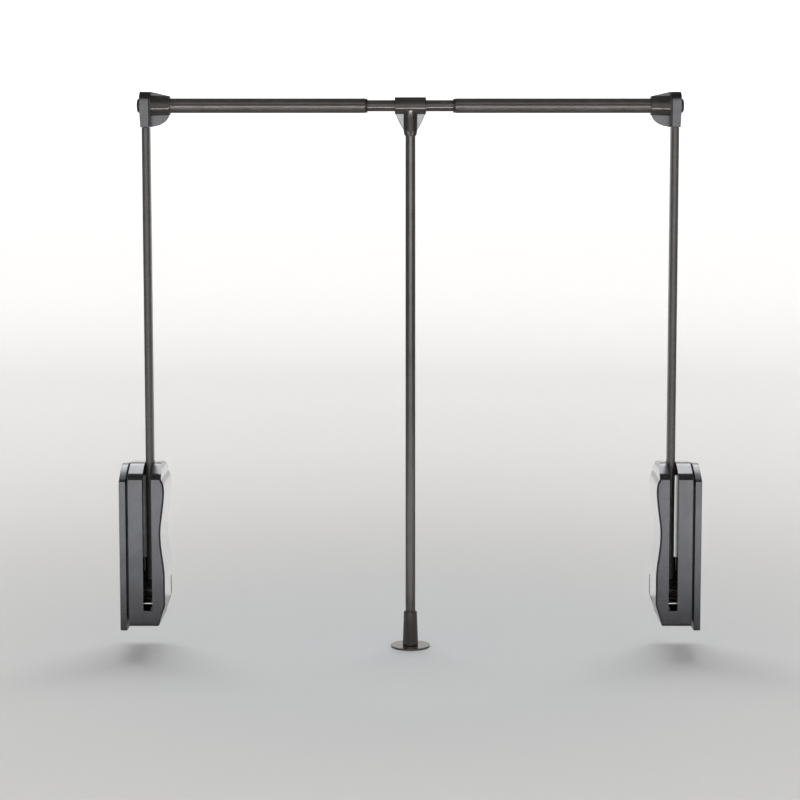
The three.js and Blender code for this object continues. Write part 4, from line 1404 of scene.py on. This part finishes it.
paper_tones = {0: "#cdd1d3", 0.6: "#cfd0d0", 1.4: "#d1cfcc", 5: "#d4d2d0"}
paper_glow = {
    0: "#5d5d5d", 0.5: "#676767", 0.9: "#797979", 1.35: "#8e8e8e", 2.1: "#a8a8a8", 3.1: "#bababa",
    4.4: "#c0c0c0", 5.2: "#d2d2d2", 5.6: "#d4d4d4", 6.3: "#eaeaea", 7: "#ffffff",
}
paper_roughness = 0.9
paper_light = 1
front_glow_share = 0.35
glow_turn = 1.4
glow_full_height = 1.5
glow_end_height = 2.4
bend = [(floor_radius, 0), (wall_radius, 0), (wall_radius, wall_radius - floor_radius)]
bowl_profile = [
    Vector((0, 0)), Vector(bend[0]), *bezier(bend, crown_steps), Vector((wall_radius, wall_height)),
]
bowl_form = turned([(point.y, point.x) for point in bowl_profile], "z", bowl_steps)
bowl_mesh = bpy.data.meshes.new("paper_sweep")
bowl_form.to_mesh(bowl_mesh)
bowl_form.free()
bowl_mesh.materials.append(bowl_finish())
bowl_mesh.polygons.foreach_set("use_smooth", [True] * len(bowl_mesh.polygons))
bowl = bpy.data.objects.new("paper_sweep", bowl_mesh)
bpy.context.scene.collection.objects.link(bowl)
print("bowl faces:", len(bowl_mesh.polygons))

# %% [markdown]
# ## Lights
# A soft sun from behind gives the even light and the faint shadows, and no gloss. Every highlight comes
# from a panel that shows only in gloss and only on one group of pieces, so that each can be set by
# itself. The panels that lie on the floor start at different distances, which makes the fronts of the
# housings fade downwards. Black cards at both sides keep the edges of the tubes dark, a grey one lies in
# front of the foot, and two lights without shadows reach the gas cylinders inside the slots. Places and
# sizes are in metres.

# %% Tools for lights
def aimed(data, place, aim):
    """A light at a place, turned to another."""
    light = bpy.data.objects.new(data.name, data)
    light.location = place
    light.rotation_euler = (Vector(aim) - Vector(place)).to_track_quat("-Z", "Y").to_euler()
    light.visible_camera = False
    bpy.context.scene.collection.objects.link(light)
    return light


def soft_panel(name, pieces, place, aim, size, glow):
    """A rectangular panel with a given glow per area, that only gives gloss, and only to some pieces."""
    data = bpy.data.lights.new(name, "AREA")
    data.shape = "RECTANGLE"
    data.size, data.size_y = size
    data.energy = glow * math.pi * data.size * data.size_y
    light = aimed(data, place, aim)
    light.visible_diffuse = False
    lit = bpy.data.collections.new(name + "_pieces")
    for piece_name in pieces:
        lit.objects.link(made_pieces[piece_name])
    light.light_linking.receiver_collection = lit
    return light


def gloss_card(name, material, low, high):
    """A board that only shows in gloss, as a flag beside a real set does."""
    mesh = bpy.data.meshes.new(name)
    form = box(low, high)
    form.to_mesh(mesh)
    form.free()
    mesh.materials.append(material)
    card = bpy.data.objects.new(name, mesh)
    card.visible_camera = card.visible_diffuse = card.visible_shadow = False
    bpy.context.scene.collection.objects.link(card)
    return card


def felt(name, colour):
    """Plain matt felt."""
    material = new_material(name)
    return surfaced(material, "ShaderNodeBsdfDiffuse", {"Color": linear(colour)})


def both(*names):
    """The left and right pieces of the given names."""
    return [f"{side}_{name}" for side in sides for name in names]


def lying(pieces, place, size, glow):
    """What soft_panel needs for a panel that lies just above the floor and glows upwards."""
    return pieces, (*place, panel_height), (*place, panel_aim_height), size, glow


panel_height = 10 * mm
panel_aim_height = 1
print("tools for lights are ready")

# %% Set the cards and the sun
card_near = 2.15
card_far = 2.2
card_front = -2.4
card_back = 1.2
card_top = 2.2
floor_card_half = 0.7
floor_card_front = -0.75
floor_card_back = -0.06
felt_low = 1 * mm
felt_high = 2 * mm
sun_place = (0, 2.4, 1.6)
sun_strength = 4.5
sun_angle = math.radians(70)

black_felt = felt("black_felt", "#060606")
grey_felt = felt("grey_felt", "#9a9a9a")
cards = [
    gloss_card("left_card", black_felt, (-card_far, card_front, 0), (-card_near, card_back, card_top)),
    gloss_card("right_card", black_felt, (card_near, card_front, 0), (card_far, card_back, card_top)),
    gloss_card(
        "floor_card", grey_felt, (-floor_card_half, floor_card_front, felt_low),
        (floor_card_half, floor_card_back, felt_high),
    ),
]
sky_data = bpy.data.lights.new("soft_sky", "SUN")
sky_data.energy = sun_strength
sky_data.angle = sun_angle
sky = aimed(sky_data, sun_place, (0, 0, 0))
sky.visible_glossy = False
print("cards:", [card.name for card in cards])

# %% Set the panels
# Each panel has the pieces it lights, its place, the place it aims at, its size and its glow. Those that
# lie on the floor have only a place across and forward, and aim straight up.
waved = both("inner_shell_moulding", "service_cover_moulding")
housings = waved + both("outer_shell_moulding", "wall_plate_moulding")
bar_pieces = ["inner_tube_drawn", "handle_tee_casting", *both("end_connector_casting")]
rod_pieces = ["handle_rod_drawn", "foot_sleeve_casting"]
lying_panels = {
    "near_floor_panel": (housings, (0, -1.65), (3, 2.7), 0.2),
    "middle_floor_panel": (housings, (0, -1.8), (3, 2.4), 0.8),
    "far_floor_panel": (housings, (0, -2.05), (3, 1.9), 1.9),
    "rod_floor_panel": (rod_pieces, (0.2, -1.6), (3, 2.7), 1.3),
    "side_panel": (waved, (0, 1.7), (3, 2.8), 0.54),
}
panels = {
    "rear_panel": (housings, (0, 2.3, 2.75), (0, 0, 0.25), (5, 1.9), 3.3),
    **{name: lying(*panel) for name, panel in lying_panels.items()},
    "bar_strip": (bar_pieces, (0, -0.95, 0.19), (0, 0, 0.83), (2.2, 0.08), 30),
    "tube_strip": (both("outer_tube_drawn"), (0, -0.95, 0.19), (0, 0, 0.83), (2.2, 0.05), 25),
    "rod_panel": (rod_pieces, (0.5, -3, 0.9), (0, 0, 0.7), (4, 1.4), 1.5),
    "rod_core_panel": (rod_pieces, (0.05, -3, 0.9), (0, 0, 0.7), (1.1, 1.4), 2),
    "tee_panel": (["handle_tee_casting"], (0, -3, 0.73), (0, 0, 0.78), (0.7, 0.3), 2.8),
    "head_panel": (both("arm_head_moulding"), (0, -3, 0.8), (0, 0, 0.82), (2.6, 0.4), 0.3),
    "connector_panel": (both("end_connector_casting"), (0, -3, 0.8), (0, 0, 0.82), (2.6, 0.4), 0.3),
    "right_glint": (["right_gas_cylinder_turned"], (-1.4, -0.5, 0.3), (0.4, 0, 0.2), (1.2, 0.6), 24),
    "left_glint": (["left_gas_cylinder_turned"], (1.4, -0.5, 0.3), (-0.4, 0, 0.2), (1.2, 0.6), 0.6),
}
lights = [sky, *(soft_panel(name, *panel) for name, panel in panels.items())]
for light in lights:
    if light.name.endswith("glint"):
        light.data.use_shadow = False
        light.visible_diffuse = True
print("lights:", [light.name for light in lights])

# %% Set the air and the picture's tones
air_colour = "#f4f6f8"
air_strength = 0.06
world = bpy.data.worlds.new("studio_air")
world.use_nodes = True
air = world.node_tree.nodes["Background"]
air.inputs["Color"].default_value = linear(air_colour)
air.inputs["Strength"].default_value = air_strength
bpy.context.scene.world = world
bpy.context.scene.view_settings.view_transform = "Standard"
print("air strength:", air_strength)
